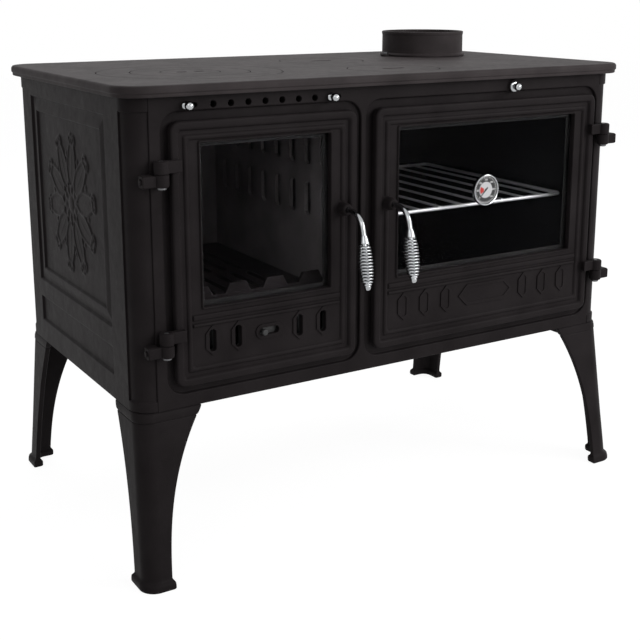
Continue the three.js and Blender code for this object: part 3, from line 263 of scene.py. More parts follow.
def join(piece, draw, *values, **more):
    carve("UNION", piece, draw, *values, **more)


def smooth(piece, sharp):
    """Smooth faces, sharp edges, and flat faces that stay flat to the eye."""
    for polygon in piece.data.polygons:
        polygon.use_smooth = True
    piece.data.set_sharp_from_angle(angle=math.radians(sharp))
    weigh = piece.modifiers.new("weigh", "WEIGHTED_NORMAL")
    weigh.keep_sharp = True
    settle(piece)


def fit(piece, finish, body, slot, *nodes, sharp=32):
    """The piece's finish, the body it moves with, its slot, which is not used, and the plain solids it
    stands for.
    """
    smooth(piece, sharp)
    piece.data.materials.clear()
    piece.data.materials.append(finish)
    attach(piece, body)
    if nodes:
        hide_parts(*nodes)


def grained(name, dark, light, rough, grain_size, grain_depth, metallic=0.0, specular=0.5, wave_depth=0.0):
    """A finish with two close colours, uneven gloss, and a fine grain."""
    finish = bpy.data.materials.new(name)
    finish.use_nodes = True
    tree = finish.node_tree
    shader = tree.nodes["Principled BSDF"]
    shader.inputs["Metallic"].default_value = metallic
    shader.inputs["Specular IOR Level"].default_value = specular
    place = tree.nodes.new("ShaderNodeTexCoord").outputs["Object"]

    def noise(size, detail):
        inputs = {"Vector": place, "Scale": 1 / size, "Detail": detail}
        return add_node(tree, "ShaderNodeTexNoise", inputs).outputs["Fac"]

    ramp = add_node(tree, "ShaderNodeValToRGB", {"Fac": noise(0.07, 5)})
    for number, (position, colour) in enumerate(((0.3, dark), (0.72, light))):
        ramp.color_ramp.elements[number].position = position
        ramp.color_ramp.elements[number].color = (*colour, 1)
    tree.links.new(ramp.outputs["Color"], shader.inputs["Base Color"])
    gloss = add_node(tree, "ShaderNodeMapRange", {
        "Value": noise(0.012, 4), "To Min": rough[0], "To Max": rough[1]})
    tree.links.new(gloss.outputs["Result"], shader.inputs["Roughness"])
    bump = add_node(tree, "ShaderNodeBump", {"Distance": grain_depth, "Height": noise(grain_size, 6)})
    if wave_depth:
        bump = add_node(tree, "ShaderNodeBump", {
            "Distance": wave_depth, "Height": noise(0.035, 2), "Normal": bump.outputs["Normal"]})
    tree.links.new(bump.outputs["Normal"], shader.inputs["Normal"])
    return finish


def near(u, v, steps):
    """Points given as steps in mm from one place."""
    return [(u + step_u * mm, v + step_v * mm) for step_u, step_v in steps]


def middle_of(node):
    low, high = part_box(node)
    return (low.x + high.x) / 2, (low.y + high.y) / 2, (low.z + high.z) / 2


def seen_from_front(node):
    """A plain solid's box, as (left, right, low, high)."""
    low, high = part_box(node)
    return low.x, high.x, low.z, high.z


cast_iron = grained("cast_iron_black", (0.0125, 0.0104, 0.0109), (0.0195, 0.0166, 0.0173), (0.40, 0.54),
    0.0016, 0.00022, specular=0.03, wave_depth=0.0012)

mm = 0.001
frame_low, frame_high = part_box("front_frame")
frame_wall = 14 * mm
recess_depth = 6 * mm
recess_margin = 12 * mm
recess_hinge_margin = 10 * mm
door_lap = 14 * mm
door_radius = 14 * mm
seal_inset = 3.5 * mm
face_y = frame_high.y - frame_wall
recess_y = face_y + recess_depth


class Door:
    """One door: its outline, opening and window, worked out from its rope seal and its glass."""

    def __init__(self, name, hinge_side):
        self.name = name
        self.hinge_side = hinge_side
        self.outline = grown(seen_from_front(f"{name}_gasket"), seal_inset)
        self.opening = grown(self.outline, -door_lap)
        self.glass = seen_from_front(f"{name}_glass")
        self.window = grown(self.glass, -8 * mm)
        self.middle = (self.outline[0] + self.outline[1]) / 2


fire_door = Door("firebox_door", -1)
oven_door = Door("oven_door", 1)
rail_z = middle_of("top_air_slider")[2]
rail_hole_radius = 4.5 * mm
rail_holes = [fire_door.outline[0] + (67.5 + 26.5 * i) * mm for i in range(7)]
rail_travel = 13 * mm
rail_knobs = [rail_holes[0] - 40 * mm, rail_holes[-1] + 40 * mm - rail_travel]
damper_x = middle_of("damper_rod")[0]

front = shaped("front_frame_casting", slab, box_outline(seen_from_front("front_frame"), 0.5 * mm),
    face_y, frame_high.y, 1.2 * mm)
boss_y = frame_low.y
boss_points = near(0, 0, [(12, 1), (11.5, -0.6), (10.3, -1.4)])
boss_points += near(10 * mm, boss_y - face_y, [(0, 0.8), (-0.3, 0.2), (-1, 0)])
join(front, turn, boss_points, (damper_x, face_y, rail_z), axis="y", sides=40)
for door in (fire_door, oven_door):
    left_margin = recess_hinge_margin if door.hinge_side < 0 else recess_margin
    right_margin = recess_hinge_margin if door.hinge_side > 0 else recess_margin
    left, right, low, high = door.outline
    door.recess = (left - left_margin, right + right_margin, low - recess_margin, high + recess_margin)
    cut(front, hollow, box_outline(door.recess, door_radius + recess_margin, 8), face_y, recess_y,
        2.2 * mm, fillet=2 * mm)
    cut(front, hollow, box_outline(door.opening, 8 * mm), recess_y, frame_high.y, 1.2 * mm)
for x in rail_holes:
    cut(front, hollow, round_outline(x, rail_z, rail_hole_radius, 20), face_y, frame_high.y, 1 * mm)
for x in rail_knobs:
    slot_box = around(x + rail_travel / 2, rail_z, rail_travel + 6.6 * mm, 6.6 * mm)
    cut(front, hollow, box_outline(slot_box, 3.3 * mm), face_y, frame_high.y, 0.8 * mm)
cut(front, hollow, round_outline(damper_x, rail_z, 3.4 * mm, 20), boss_y, frame_high.y, 0.6 * mm)
fit(front, cast_iron, "stove_body", "cast_iron", "front_frame")


# ---- Corner posts ----
# Four cast-iron quarter rounds that tie the front, sides and back together. Each has a slightly fuller
# foot and head, and is bolted from inside.

post_foot = 14 * mm
post_head = 18 * mm
post_relief = 2.5 * mm


def post_skin(bm, centre_x, centre_y, way_x, way_y, radius, low, high):
    soft = 1.2 * mm
    levels = [(radius - soft, low), (radius, low + soft), (radius, low + post_foot - post_relief / 2)]
    for start, way in ((low + post_foot, 1), (high - post_head, -1)):
        curve = [((1 - math.cos(math.pi * i / 4)) / 2, way * i / 4) for i in range(5)]
        levels += [(radius - post_relief * share, start + post_relief * rise)
            for share, rise in curve[::way]]
    levels += [(radius, high - soft), (radius - soft, high)]
    rings = []
    for r, z in levels:
        arc = [(centre_x, centre_y, z)]
        for i in range(17):
            angle = math.pi / 2 * i / 16
            arc.append((centre_x + way_x * r * math.cos(angle), centre_y + way_y * r * math.sin(angle), z))
        rings.append(arc)
    skin(bm, rings)


corners = {"front_left": (-1, -1), "front_right": (1, -1), "back_left": (-1, 1), "back_right": (1, 1)}
for corner, (way_x, way_y) in corners.items():
    low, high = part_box(f"{corner}_post")
    centre_x = low.x if way_x > 0 else high.x
    centre_y = low.y if way_y > 0 else high.y
    post = shaped(f"{corner}_post_casting", post_skin, centre_x, centre_y, way_x, way_y, high.x - low.x,
        low.z, high.z)
    fit(post, cast_iron, "stove_body", "cast_iron", f"{corner}_post")


# ---- Side panels ----
# One cast-iron plate on each side: a field sunk between soft coves, with a low relief flower in it, and a
# narrow sunk band below. The relief is modelled in the face itself, as it is in the casting.

panel_low, panel_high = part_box("left_side_panel")
body_y = (panel_low.y + panel_high.y) / 2
body_bottom, body_top = panel_low.z, panel_high.z
sink_depth = 4 * mm
cove_depth = 3.2 * mm
lip_depth = 1 * mm
cove_width = 22 * mm
field_y = body_y + 5 * mm
field = (field_y - 138 * mm, field_y + 138 * mm, body_bottom + 128 * mm, body_top - 49 * mm)
cove_box = grown(field, cove_width)
low_band = (cove_box[0], cove_box[1], body_bottom + 36 * mm, body_bottom + 78 * mm)
slope = 3 * mm
flower_radius = 104 * mm
flower_height = 1.8 * mm
petal_count = 10


def ease(value):
    value = min(max(value, 0), 1)
    return value * value * (3 - 2 * value)


def inside(box, u, v):
    """How far a point lies inside a box."""
    return min(u - box[0], box[1] - u, v - box[2], box[3] - v)


def ridge(distance, width):
    """A rounded bead's height, from 0 at its edges to 1 along its middle."""
    return math.sqrt(max(0, 1 - (distance / width) ** 2))


def flower(u, v):
    """Height of the flower: an eye, a ring of leaves, and petals with scrolls that curl at their tips."""
    u -= (field[0] + field[1]) / 2
    v -= (field[2] + field[3]) / 2
    r = math.hypot(u, v)
    if r > flower_radius * 1.08:
        return 0
    angle = math.atan2(v, u) + math.radians(9)
    petal = 2 * math.pi / petal_count
    swing = abs((angle + petal / 2) % petal - petal / 2)
    across = r * swing
    along = r / flower_radius
    height = 0
    if along < 0.11:
        height = 0.9 * ridge(along, 0.11)
    if 0.13 < along < 0.3:
        height = max(height, 0.8 * ridge(across,
            r * petal * 0.32) * math.sin(math.pi * (along - 0.13) / 0.17))
    if along > 0.28:
        share = (along - 0.28) / 0.72
        edge = flower_radius * 0.145 * math.sin(math.pi * min(share, 1) ** 0.8) ** 0.75 + 1.5 * mm
        height = max(height, 0.95 * ridge(across - edge, 2.9 * mm) * ease((1.04 - along) * 14))
        if across < edge:
            height = max(height, 0.34 * ease((edge - across) / (5 * mm)))
            height = max(height, 0.6 * ridge(across, 1.8 * mm) * ease(share * 5) * ease((0.86 - along) * 9))
    tip = math.hypot(across - flower_radius * 0.05, r - flower_radius * 0.95)
    height = max(height, 0.95 * ridge(tip - 7 * mm, 2.6 * mm))
    between = math.hypot(r * (petal / 2 - swing), r - flower_radius * 0.72)
    height = max(height, 0.75 * ridge(between, 5 * mm))
    return flower_height * height


def panel_height(u, v):
    """Depth of the side panel's face below its outer plane, as a negative height."""
    field_in = inside(field, u, v)
    if field_in > 0:
        depth = lip_depth + (sink_depth - lip_depth) * ease(field_in / slope)
        return -depth + flower(u, v)
    cove_in = inside(cove_box, u, v)
    if cove_in > 0:
        rise = (cove_depth - lip_depth) * ease((cove_in - slope) / (cove_width - slope))
        return -cove_depth * ease(cove_in / slope) + rise
    band_in = inside(low_band, u, v)
    if band_in > 0:
        return -cove_depth * ease(band_in / slope)
    return 0


def stations(low, high, marks, step):
    """Places along a line: fine round each mark, and a step apart elsewhere."""
    places = {round(low, 6), round(high, 6)}
    for mark in marks:
        places.update(round(mark + i * slope / 3, 6) for i in range(-1, 5))
    count = int((high - low) / step)
    places.update(round(low + (high - low) * i / count, 6) for i in range(count))
    kept = []
    for place in sorted(p for p in places if low <= p <= high):
        if not kept or place - kept[-1] > 0.3 * mm:
            kept.append(place)
    kept[-1] = high
    return kept


across_marks = [cove_box[0], field[0], field[1] - slope, cove_box[1] - slope]
upright_marks = [low_band[2], low_band[3] - slope, cove_box[2], field[2], field[3] - slope,
    cove_box[3] - slope]
panel_us = stations(panel_low.y, panel_high.y, across_marks, 2 * mm)
panel_vs = stations(body_bottom, body_top, upright_marks, 2 * mm)


def panel_skin(bm, outer_x, back_x):
    way = math.copysign(1, outer_x - back_x)
    grid = [[bm.verts.new((outer_x + way * panel_height(u, v), u, v)) for u in panel_us] for v in panel_vs]
    for lower, upper in zip(grid, grid[1:]):
        for i in range(len(panel_us) - 1):
            bm.faces.new((lower[i], lower[i + 1], upper[i + 1], upper[i]))
    border = grid[0] + [row[-1] for row in grid[1:]] + grid[-1][-2::-1] + [row[0] for row in grid[-2:0:-1]]
    back = [bm.verts.new((back_x, vert.co.y, vert.co.z)) for vert in border]
    for i in range(len(border)):
        j = (i + 1) % len(border)
        bm.faces.new((border[i], border[j], back[j], back[i]))
    bm.faces.new(back)


for side, way in (("left", -1), ("right", 1)):
    low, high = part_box(f"{side}_side_panel")
    outer_x, back_x = (low.x, high.x) if way < 0 else (high.x, low.x)
    panel = shaped(f"{side}_side_panel_casting", panel_skin, outer_x, back_x)
    fit(panel, cast_iron, "stove_body", "cast_iron", f"{side}_side_panel", sharp=50)


# ---- Back panel and base plate ----
# Plain cast-iron plates behind and below. The back has one wide sunk field and a row of screws that hold it
# to the posts. The base plate keeps its plain solid's shape, with its edges rubbed soft.

back_low, back_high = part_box("back_panel")
back_face = seen_from_front("back_panel")
back = shaped("back_panel_casting", slab, box_outline(back_face, 0.5 * mm), back_low.y, back_high.y, 1 * mm)
cut(back, hollow, box_outline(grown(back_face, -49 * mm), 14 * mm), back_high.y, back_high.y - 2 * mm,
    2 * mm, fillet=1.5 * mm)
fit(back, cast_iron, "stove_body", "cast_iron", "back_panel")


def soft_copy(node, name, width):
    """A copy of a plain solid with its loose triangles merged and its edges rounded."""
    bm = bmesh.new()
    bm.from_mesh(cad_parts[node].data)
    bmesh.ops.remove_doubles(bm, verts=bm.verts, dist=1e-6)
    bmesh.ops.dissolve_limit(bm, angle_limit=math.radians(0.5), verts=bm.verts, edges=bm.edges)
    copy = piece_of(bm, name)
    soften = copy.modifiers.new("soften", "BEVEL")
    soften.width = width
    soften.segments = 2
    soften.limit_method = "ANGLE"
    soften.angle_limit = math.radians(30)
    settle(copy)
    return copy


base = soft_copy("base_plate", "base_plate_casting", 0.8 * mm)
fit(base, cast_iron, "stove_body", "cast_iron", "base_plate")


# ---- Legs ----
# Four cast-iron legs, each an angle section with a rounded corner that narrows in a curve to a small
# flared foot. A bead runs round the top, under the base plate.

leg_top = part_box("front_left_leg")[1].z
half_width = -panel_low.x
half_depth = (back_high.y - face_y) / 2
leg_splay = (10 * mm, 36 * mm)
leg_top_size = (97 * mm, 84 * mm)
leg_foot_size = (39 * mm, 46 * mm)
leg_wall = 8 * mm
leg_corner = 25 * mm
leg_rings = 28
foot_height = 19.2 * mm
arris = 1.6 * mm


def leg_section(corner_x, corner_y, width, depth, flare):
    """The angle section at one level, for the corner at +X +Y, as points going round it."""
    r = min(leg_corner, width * 0.6, depth * 0.6)
    outer_x, outer_y = corner_x + flare, corner_y + flare
    inner_x, inner_y = outer_x - leg_wall - 2 * flare, outer_y - leg_wall - 2 * flare
    end_y, end_x = outer_y - depth - flare * 2, outer_x - width - flare * 2
    points = []

    def arc(x, y, radius, start, sweep, steps):
        for i in range(steps + 1):
            angle = math.radians(start + sweep * i / steps)
            points.append((x + radius * math.cos(angle), y + radius * math.sin(angle)))

    arc(inner_x + arris, end_y + arris, arris, 180, 90, 3)
    arc(outer_x - arris, end_y + arris, arris, -90, 90, 3)
    arc(outer_x - r, outer_y - r, r, 0, 90, 12)
    arc(end_x + arris, outer_y - arris, arris, 90, 90, 3)
    arc(end_x + arris, inner_y + arris, arris, 180, 90, 3)
    inner = max(r - leg_wall, 2 * mm)
    arc(inner_x - inner, inner_y - inner, inner, 90, -90, 6)
    return points


def leg_skin(bm, way_x, way_y):
    bead_low, bead_top = leg_top - 15 * mm, leg_top - 4 * mm
    levels = near(0, 0, [(0, 1.6), (0.8, 3), (2.5, 4), (6.6, 4), (10.2, 3.6), (12, 2.2), (13.44, 0.8),
        (15.6, 0)])
    levels += [(foot_height + (bead_low - foot_height) * i / leg_rings, 0) for i in range(leg_rings + 1)]
    levels += near(bead_low, 0, [(1.2, -0.8), (2.4, 0), (4, 0.6)]) + near(bead_top, 0,
        [(-2, 0.6), (0, 0.4)])
    levels += near(leg_top, 0, [(-1.2, 0), (0, -1.2)])
    rings = []
    for z, flare in levels:
        drop = 1 - z / leg_top
        width = leg_foot_size[0] + (leg_top_size[0] - leg_foot_size[0]) * (1 - drop) ** 2.7
        depth = leg_foot_size[1] + (leg_top_size[1] - leg_foot_size[1]) * (1 - drop) ** 2.4
        section = leg_section(half_width + leg_splay[0] * drop, half_depth + leg_splay[1] * drop, width,
            depth, flare)
        rings.append([(way_x * x, body_y + way_y * y, z) for x, y in section])
    skin(bm, rings)


for corner, (way_x, way_y) in corners.items():
    leg = shaped(f"{corner}_leg_casting", leg_skin, way_x, way_y)
    pad_x = way_x * (half_width - leg_top_size[0] / 2)
    pad_y = body_y + way_y * (half_depth - leg_top_size[1] / 2)
    pad_box = around(pad_x, pad_y, leg_top_size[0] - 12 * mm, leg_top_size[1] - 12 * mm)
    join(leg, slab, box_outline(pad_box, 4 * mm), leg_top - 10 * mm, leg_top - 0.05 * mm, 1 * mm, axis="z")
    fit(leg, cast_iron, "stove_body", "cast_iron", f"{corner}_leg")


# ---- Cooktop, rings and lids ----
# The thick cast-iron top plate with a stepped edge, and the rings and lids that lie in its stepped seats.
# The top is bare and smoother than the painted body; its lighter grey colour is partly painted sheen.

# The two colours below are lighter than the body's in part as painted sheen, standing in for the grazing
# reflection on the top.
cooktop_iron = grained("cooktop_iron_painted_sheen", (0.024, 0.0200, 0.0205), (0.046, 0.039, 0.040), (0.50, 0.66),
    0.0022, 0.00016, specular=0.06, wave_depth=0.0006)
top_low, top_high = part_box("cooktop")
top_corner = 42 * mm
ring_wall = 8 * mm
ring_seat = 6 * mm
ring_gap = 0.6 * mm
hotplate_x, hotplate_y = middle_of("hotplate_outer_ring")[:2]
ring_radii = {"hotplate_outer_ring": (139 * mm, 90 * mm), "hotplate_middle_ring": (90 * mm, 45 * mm),
    "hotplate_centre_lid": (45 * mm, 0)}
lid_radius = 72.5 * mm
lid_places = {name: middle_of(name)[:2] for name in ("rear_lid", "front_right_lid")}
collar_low, collar_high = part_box("flue_collar")
flue_x, flue_y = middle_of("flue_collar")[:2]
ear_places = [middle_of(f"flue_bolt_{side}")[:2] for side in ("left", "right")]
flue_radius = 75 * mm
flue_wall = 5 * mm
seat_z = top_high.z - ring_wall


def cooktop_skin(bm):
    profile = near(0, top_low.z, [(3.3, 0), (2.2, 0.5), (1.8, 1.6), (1.8, 4.4), (1.08, 5.4), (0.3, 6),
        (0, 6.8)])
    profile += near(0, top_high.z, [(0, -4.6), (0.4, -3), (1.3, -1.6), (2.7, -0.5), (4.6, 0)])
    outline = box_outline((top_low.x, top_high.x, top_low.y, top_high.y), top_corner, 12)
    skin(bm, [[(u, v, z) for u, v in outline(inward)] for inward, z in profile])


def seat_hole(bm, x, y, radius):
    seat = radius - ring_seat
    profile = [(seat, top_low.z - 2 * mm), (seat, seat_z), (radius, seat_z)]
    profile += near(radius, top_high.z, [(0, -1.5), (0.45, -0.45), (1.5, 0), (1.5, 2)])
    turn(bm, profile, (x, y, 0), sides=72)


cooktop = shaped("cooktop_casting", cooktop_skin)
cut(cooktop, seat_hole, hotplate_x, hotplate_y, ring_radii["hotplate_outer_ring"][0])
for x, y in lid_places.values():
    cut(cooktop, seat_hole, x, y, lid_radius)
cut(cooktop, hollow, round_outline(flue_x, flue_y, flue_radius - flue_wall, 64), top_high.z, top_low.z,
    0.8 * mm, axis="z")
for x, y in ear_places:
    cut(cooktop, hollow, round_outline(x, y, 3.3 * mm, 20), top_high.z, top_low.z, 0.4 * mm, axis="z")
fit(cooktop, cooktop_iron, "stove_body", "cooktop_iron", "cooktop")


def disc_profile(radius):
    """A lid that hangs by its rim in a stepped seat, from its underside's middle to its top's."""
    hung = radius - ring_seat - ring_gap
    profile = near(hung, top_low.z, [(-1.5, 0), (0, 1.5)]) + [(hung, seat_z + 0.3 * mm)]
    profile += [(radius - ring_gap, seat_z + 0.3 * mm)]
    return profile + near(radius - ring_gap, top_high.z, [(0, -1.5), (-0.45, -0.45), (-1.5, 0)])


def ring_profile(radius, inner):
    """The same with a stepped seat inside it for the next ring."""
    seat = inner - ring_seat
    edge = near(inner, top_high.z, [(1.5, 0), (0.45, -0.45), (0, -1.5)])
    return disc_profile(radius) + edge + [(inner, seat_z), (seat, seat_z), (seat, top_low.z)]


def lifter_slots(lid, *slots):
    """The slots, each at (x, y, length), that the lifting iron hooks into."""
    for x, y, length in slots:
        cut(lid, hollow, box_outline(around(x, y, length, 10 * mm), 5 * mm), top_high.z, top_low.z,
            0.8 * mm, axis="z")


for ring_name, (radius, inner) in ring_radii.items():
    place = (hotplate_x, hotplate_y, 0)
    if inner:
        ring = shaped(f"{ring_name}_casting", turn, ring_profile(radius, inner), place, sides=96, loop=True)
    else:
        ring = shaped(f"{ring_name}_casting", turn, disc_profile(radius), place, sides=72)
        lifter_slots(ring, *[(hotplate_x + way * 14.5 * mm, hotplate_y, 17 * mm) for way in (-1, 1)])
    fit(ring, cooktop_iron, ring_name, "cooktop_iron", ring_name)
for lid_name, (x, y) in lid_places.items():
    lid = shaped(f"{lid_name}_casting", turn, disc_profile(lid_radius), (x, y, 0), sides=72)
    lifter_slots(lid, (x, y, 40 * mm))
    fit(lid, cooktop_iron, lid_name, "cooktop_iron", lid_name)


# ---- Flue collar ----
# A short cast-iron tube for the stove pipe, with a rolled lip and a flange, held to the cooktop by two bolts
# through its ears.

flange = flue_radius + 3 * mm
flange_top = collar_low.z + 4 * mm
bore = flue_radius - flue_wall
collar_points = near(bore, collar_low.z, [(0, 0.5), (0.5, 0)])
collar_points += near(flange, collar_low.z, [(-0.8, 0), (0, 0.8)])
collar_points += near(flange, flange_top, [(0, -1), (-0.6, -0.2)])
collar_points += near(flue_radius, flange_top, [(0.6, 0.6), (-0.6, 2)])
collar_points += near(flue_radius, collar_high.z, [
    (-0.8, -7), (-0.4, -5.6), (0, -4.4), (0, -1.4), (-0.5, -0.4), (-1.5, 0)])
collar_points += near(bore, collar_high.z, [(1.2, 0), (0, -1.2)])
collar = shaped("flue_collar_casting", turn, collar_points, (flue_x, flue_y, 0), sides=96, loop=True)
for x, y in ear_places:
    join(collar, slab, round_outline(x, y, 8 * mm, 32), collar_low.z, flange_top, 0.8 * mm, axis="z")
    cut(collar, hollow, round_outline(x, y, 3.3 * mm, 20), flange_top, collar_low.z, 0.4 * mm, axis="z")
cut(collar, slab, round_outline(flue_x, flue_y, bore, 96), collar_low.z - 2 * mm, collar_high.z - 2 * mm,
    0.1 * mm, axis="z")
fit(collar, cooktop_iron, "stove_body", "cast_iron", "flue_collar")

steel = grained("steel_dull", (0.10, 0.10, 0.105), (0.17, 0.17, 0.175), (0.34, 0.5), 0.0011, 0.00006,
    metallic=0.9)
for side in ("left", "right"):
    bolt = soft_copy(f"flue_bolt_{side}", f"flue_bolt_{side}_steel", 0.4 * mm)
    fit(bolt, steel, "stove_body", "steel", f"flue_bolt_{side}")


# ---- Doors ----
# Two cast-iron doors. Each has a rounded rim, a groove, a bead that frames its face, a lipped window, a
# double bead under the window, raised pads with pointed ends, a hub for the handle and two hinge knuckles.

back_y = face_y + 2 * mm
door_wall = 6 * mm
plate_y = back_y - door_wall
pad_height = 2 * mm
air_z = body_bottom + 92 * mm
pin_out = 16 * mm
pin_y = face_y - 13 * mm
pin_radius = 4 * mm
knuckle_radius = 10 * mm
knuckle_height = 18 * mm
knuckle_reach = 29 * mm
hub_radius = 10 * mm
hub_face_y = plate_y - 18 * mm
rod_radius = 4 * mm
hinge_levels = [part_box(f"left_{level}_hinge_bracket")[1].z for level in ("upper", "lower")]
for door, prefix in ((fire_door, "firebox"), (oven_door, "oven")):
    door.prefix = prefix
    door.handle_x = middle_of(f"{prefix}_handle_rod")[0]
    door.latch_z = middle_of(f"{prefix}_latch")[2]
    door.pin_x = (door.outline[0] if door.hinge_side < 0 else door.outline[1]) + door.hinge_side * pin_out


def door_skin(bm, door):
    """The plate, its rim and bead and its window's lip, as one closed skin round the window."""
    outside = [(1, -6), (0.3, -5.7), (0, -5), (0, 1.6), (0.5, 3.2), (1.6, 4.4), (3.2, 5), (8.5, 5),
        (10.4, 4.4), (11.8, 3), (12.8, 1), (13.6, 0.1), (14.4, 0), (17.6, 0), (18.4, 0.3), (19.2, 1.4),
        (20.2, 2.4), (21.6, 3), (23.4, 3), (24.8, 2.4), (25.7, 1.4), (26.4, 0.3), (26.8, 0)]
    lip = [(4, 0), (3.6, 0.3), (3.1, 1.6), (2.5, 2.6), (1.7, 2.9), (0.9, 2.6), (0.2, 1.2), (0, -0.2),
        (0, -5.6), (0.4, -6)]
    rings = []
    for inward, height in outside:
        outline = rounded(grown(door.outline, -inward * mm), max(door_radius - inward * mm, 3.5 * mm), 8)
        rings.append([(u, plate_y - height * mm, v) for u, v in outline])
    for outward, height in lip:
        outline = rounded(grown(door.window, outward * mm), 2 * mm + outward * mm * 0.5, 8)
        rings.append([(u, plate_y - height * mm, v) for u, v in outline])
    skin(bm, rings, loop=True)


def pointed(x, z, width, height):
    """The outline of a pad whose two ends along its longer way come to a square point."""
    def outline(margin):
        w, h = width / 2 - margin, height / 2 - margin
        if height > width:
            tip = h + margin - margin * math.sqrt(2)
            return [(x + w, z - tip + w), (x + w, z + tip - w), (x, z + tip), (x - w, z + tip - w),
                (x - w, z - tip + w), (x, z - tip)]
        tip = w + margin - margin * math.sqrt(2)
        return [(x + tip - h, z - h), (x + tip, z), (x + tip - h, z + h), (x - tip + h, z + h),
            (x - tip, z), (x - tip + h, z - h)]
    return outline


def cut_ends(x, z, width, height):
    """The outline of a slot whose ends are cut to half an octagon."""
    def outline(margin):
        w, h = width / 2 - margin, height / 2 - margin
        c = min(width, height) * 0.29 - margin * 0.586
        return [(x - w + c, z - h), (x + w - c, z - h), (x + w, z - h + c), (x + w, z + h - c),
            (x + w - c, z + h), (x - w + c, z + h), (x - w, z + h - c), (x - w, z - h + c)]
    return outline


def pad(bm, outline, height=pad_height):
    slab(bm, outline, plate_y + 1 * mm, plate_y - height, 0.6 * mm)


def door_casting(door):
    piece = shaped(f"{door.name}_casting", door_skin, door)
    inner = grown(door.outline, -26 * mm)
    bead_z = door.window[2] - 14 * mm
    for offset, half in ((0, 4 * mm), (-11 * mm, 2.6 * mm)):
        bead = (inner[0] + 1 * mm, inner[1] - 1 * mm, bead_z + offset - half, bead_z + offset + half)
        join(piece, slab, box_outline(bead, 0.5 * mm, 2), plate_y + 1 * mm, plate_y - 2.6 * mm, 2.3 * mm)
    hub = near(hub_radius, plate_y, [(3, 1), (2.2, -0.6), (0.6, -2), (0, -4), (-0.2, -9.55), (-1.4, -15.4)])
    hub += near(hub_radius, hub_face_y, [(-2.2, 1), (-3.4, 0)])
    join(piece, turn, hub, (door.handle_x, 0, door.latch_z), axis="y", sides=40)
    cut(piece, slab, round_outline(door.handle_x, door.latch_z, rod_radius + 0.4 * mm, 24),
        plate_y - 30 * mm, back_y + 2 * mm, 0.1 * mm)
    for joint_z in hinge_levels:
        bottom, top = joint_z + 0.3 * mm, joint_z + 0.3 * mm + knuckle_height
        edge = door.pin_x - door.hinge_side * knuckle_reach
        arm = (min(door.pin_x, edge), max(door.pin_x, edge), bottom + 0.6 * mm, top - 0.6 * mm)
        join(piece, slab, box_outline(arm, 2 * mm), plate_y - 2.5 * mm, pin_y - 3.4 * mm, 1.6 * mm)
        knuckle = near(knuckle_radius, bottom, [(-1.4, 0), (0, 1.4)])
        knuckle += near(knuckle_radius, top, [(0, -2.2), (-0.6, -1), (-2.2, 0)])
        join(piece, turn, knuckle, (door.pin_x, pin_y, 0), sides=40)
        cut(piece, slab, round_outline(door.pin_x, pin_y, pin_radius + 0.4 * mm, 24), bottom - 2 * mm,
            top + 2 * mm, 0.1 * mm, axis="z")
    return piece


fire_casting = door_casting(fire_door)
air_places = [fire_door.middle + offset * mm for offset in (-90, -50, 50, 90)]
for x in air_places:
    join(fire_casting, pad, pointed(x, air_z, 22 * mm, 44 * mm))
    cut(fire_casting, hollow, cut_ends(x, air_z, 10 * mm, 32 * mm), plate_y - pad_height, back_y, 1 * mm)
slider_pad = around(fire_door.middle, air_z, 44 * mm, 22 * mm)
join(fire_casting, pad, box_outline(slider_pad, 11 * mm, 8))
slider_slot = around(fire_door.middle, air_z, 30.6 * mm, 11 * mm)
cut(fire_casting, hollow, box_outline(slider_slot, 5.5 * mm, 8), plate_y - pad_height, back_y, 1 * mm)
slider_low, slider_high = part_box("door_air_slider")
guide_left = slider_low.x
guide_right = slider_high.x + 20 * mm
for edge_z, way in ((slider_low.z, -1), (slider_high.z, 1)):
    bar = sorted((edge_z + way * 0.3 * mm, edge_z + way * 3.3 * mm))
    lip = sorted((edge_z - way * 2.7 * mm, edge_z + way * 3.3 * mm))
    join(fire_casting, slab, box_outline((guide_left, guide_right, *bar), 0.4 * mm, 2), back_y - 1 * mm,
        back_y + 5.1 * mm, 0.3 * mm)
    join(fire_casting, slab, box_outline((guide_left, guide_right, *lip), 0.4 * mm, 2), back_y + 3.6 * mm,
        back_y + 5.1 * mm, 0.3 * mm)
fit(fire_casting, cast_iron, "firebox_door", "cast_iron", "firebox_door")

oven_casting = door_casting(oven_door)
for way in (-1, 1):
    for number in range(3):
        x = oven_door.middle + way * (80 + 41.5 * number) * mm
        join(oven_casting, pad, pointed(x, air_z, 22 * mm, 44 * mm))
        cut(oven_casting, hollow, cut_ends(x, air_z, 10 * mm, 32 * mm), plate_y - pad_height,
            plate_y - pad_height + 1.5 * mm, 0.5 * mm, fillet=0.4 * mm)
join(oven_casting, pad, pointed(oven_door.middle, air_z, 112 * mm, 34 * mm))
cut(oven_casting, hollow, pointed(oven_door.middle, air_z, 98 * mm, 24 * mm), plate_y - pad_height,
    plate_y - pad_height + 1.5 * mm, 0.6 * mm, fillet=0.4 * mm)
fit(oven_casting, cast_iron, "oven_door", "cast_iron", "oven_door")


# ---- Glass, glass frames and rope seals ----
# A pane of ceramic glass behind each window, held by a thin steel frame with small screws, and a woven
# rope seal that lies in the gap round the edge of the door.

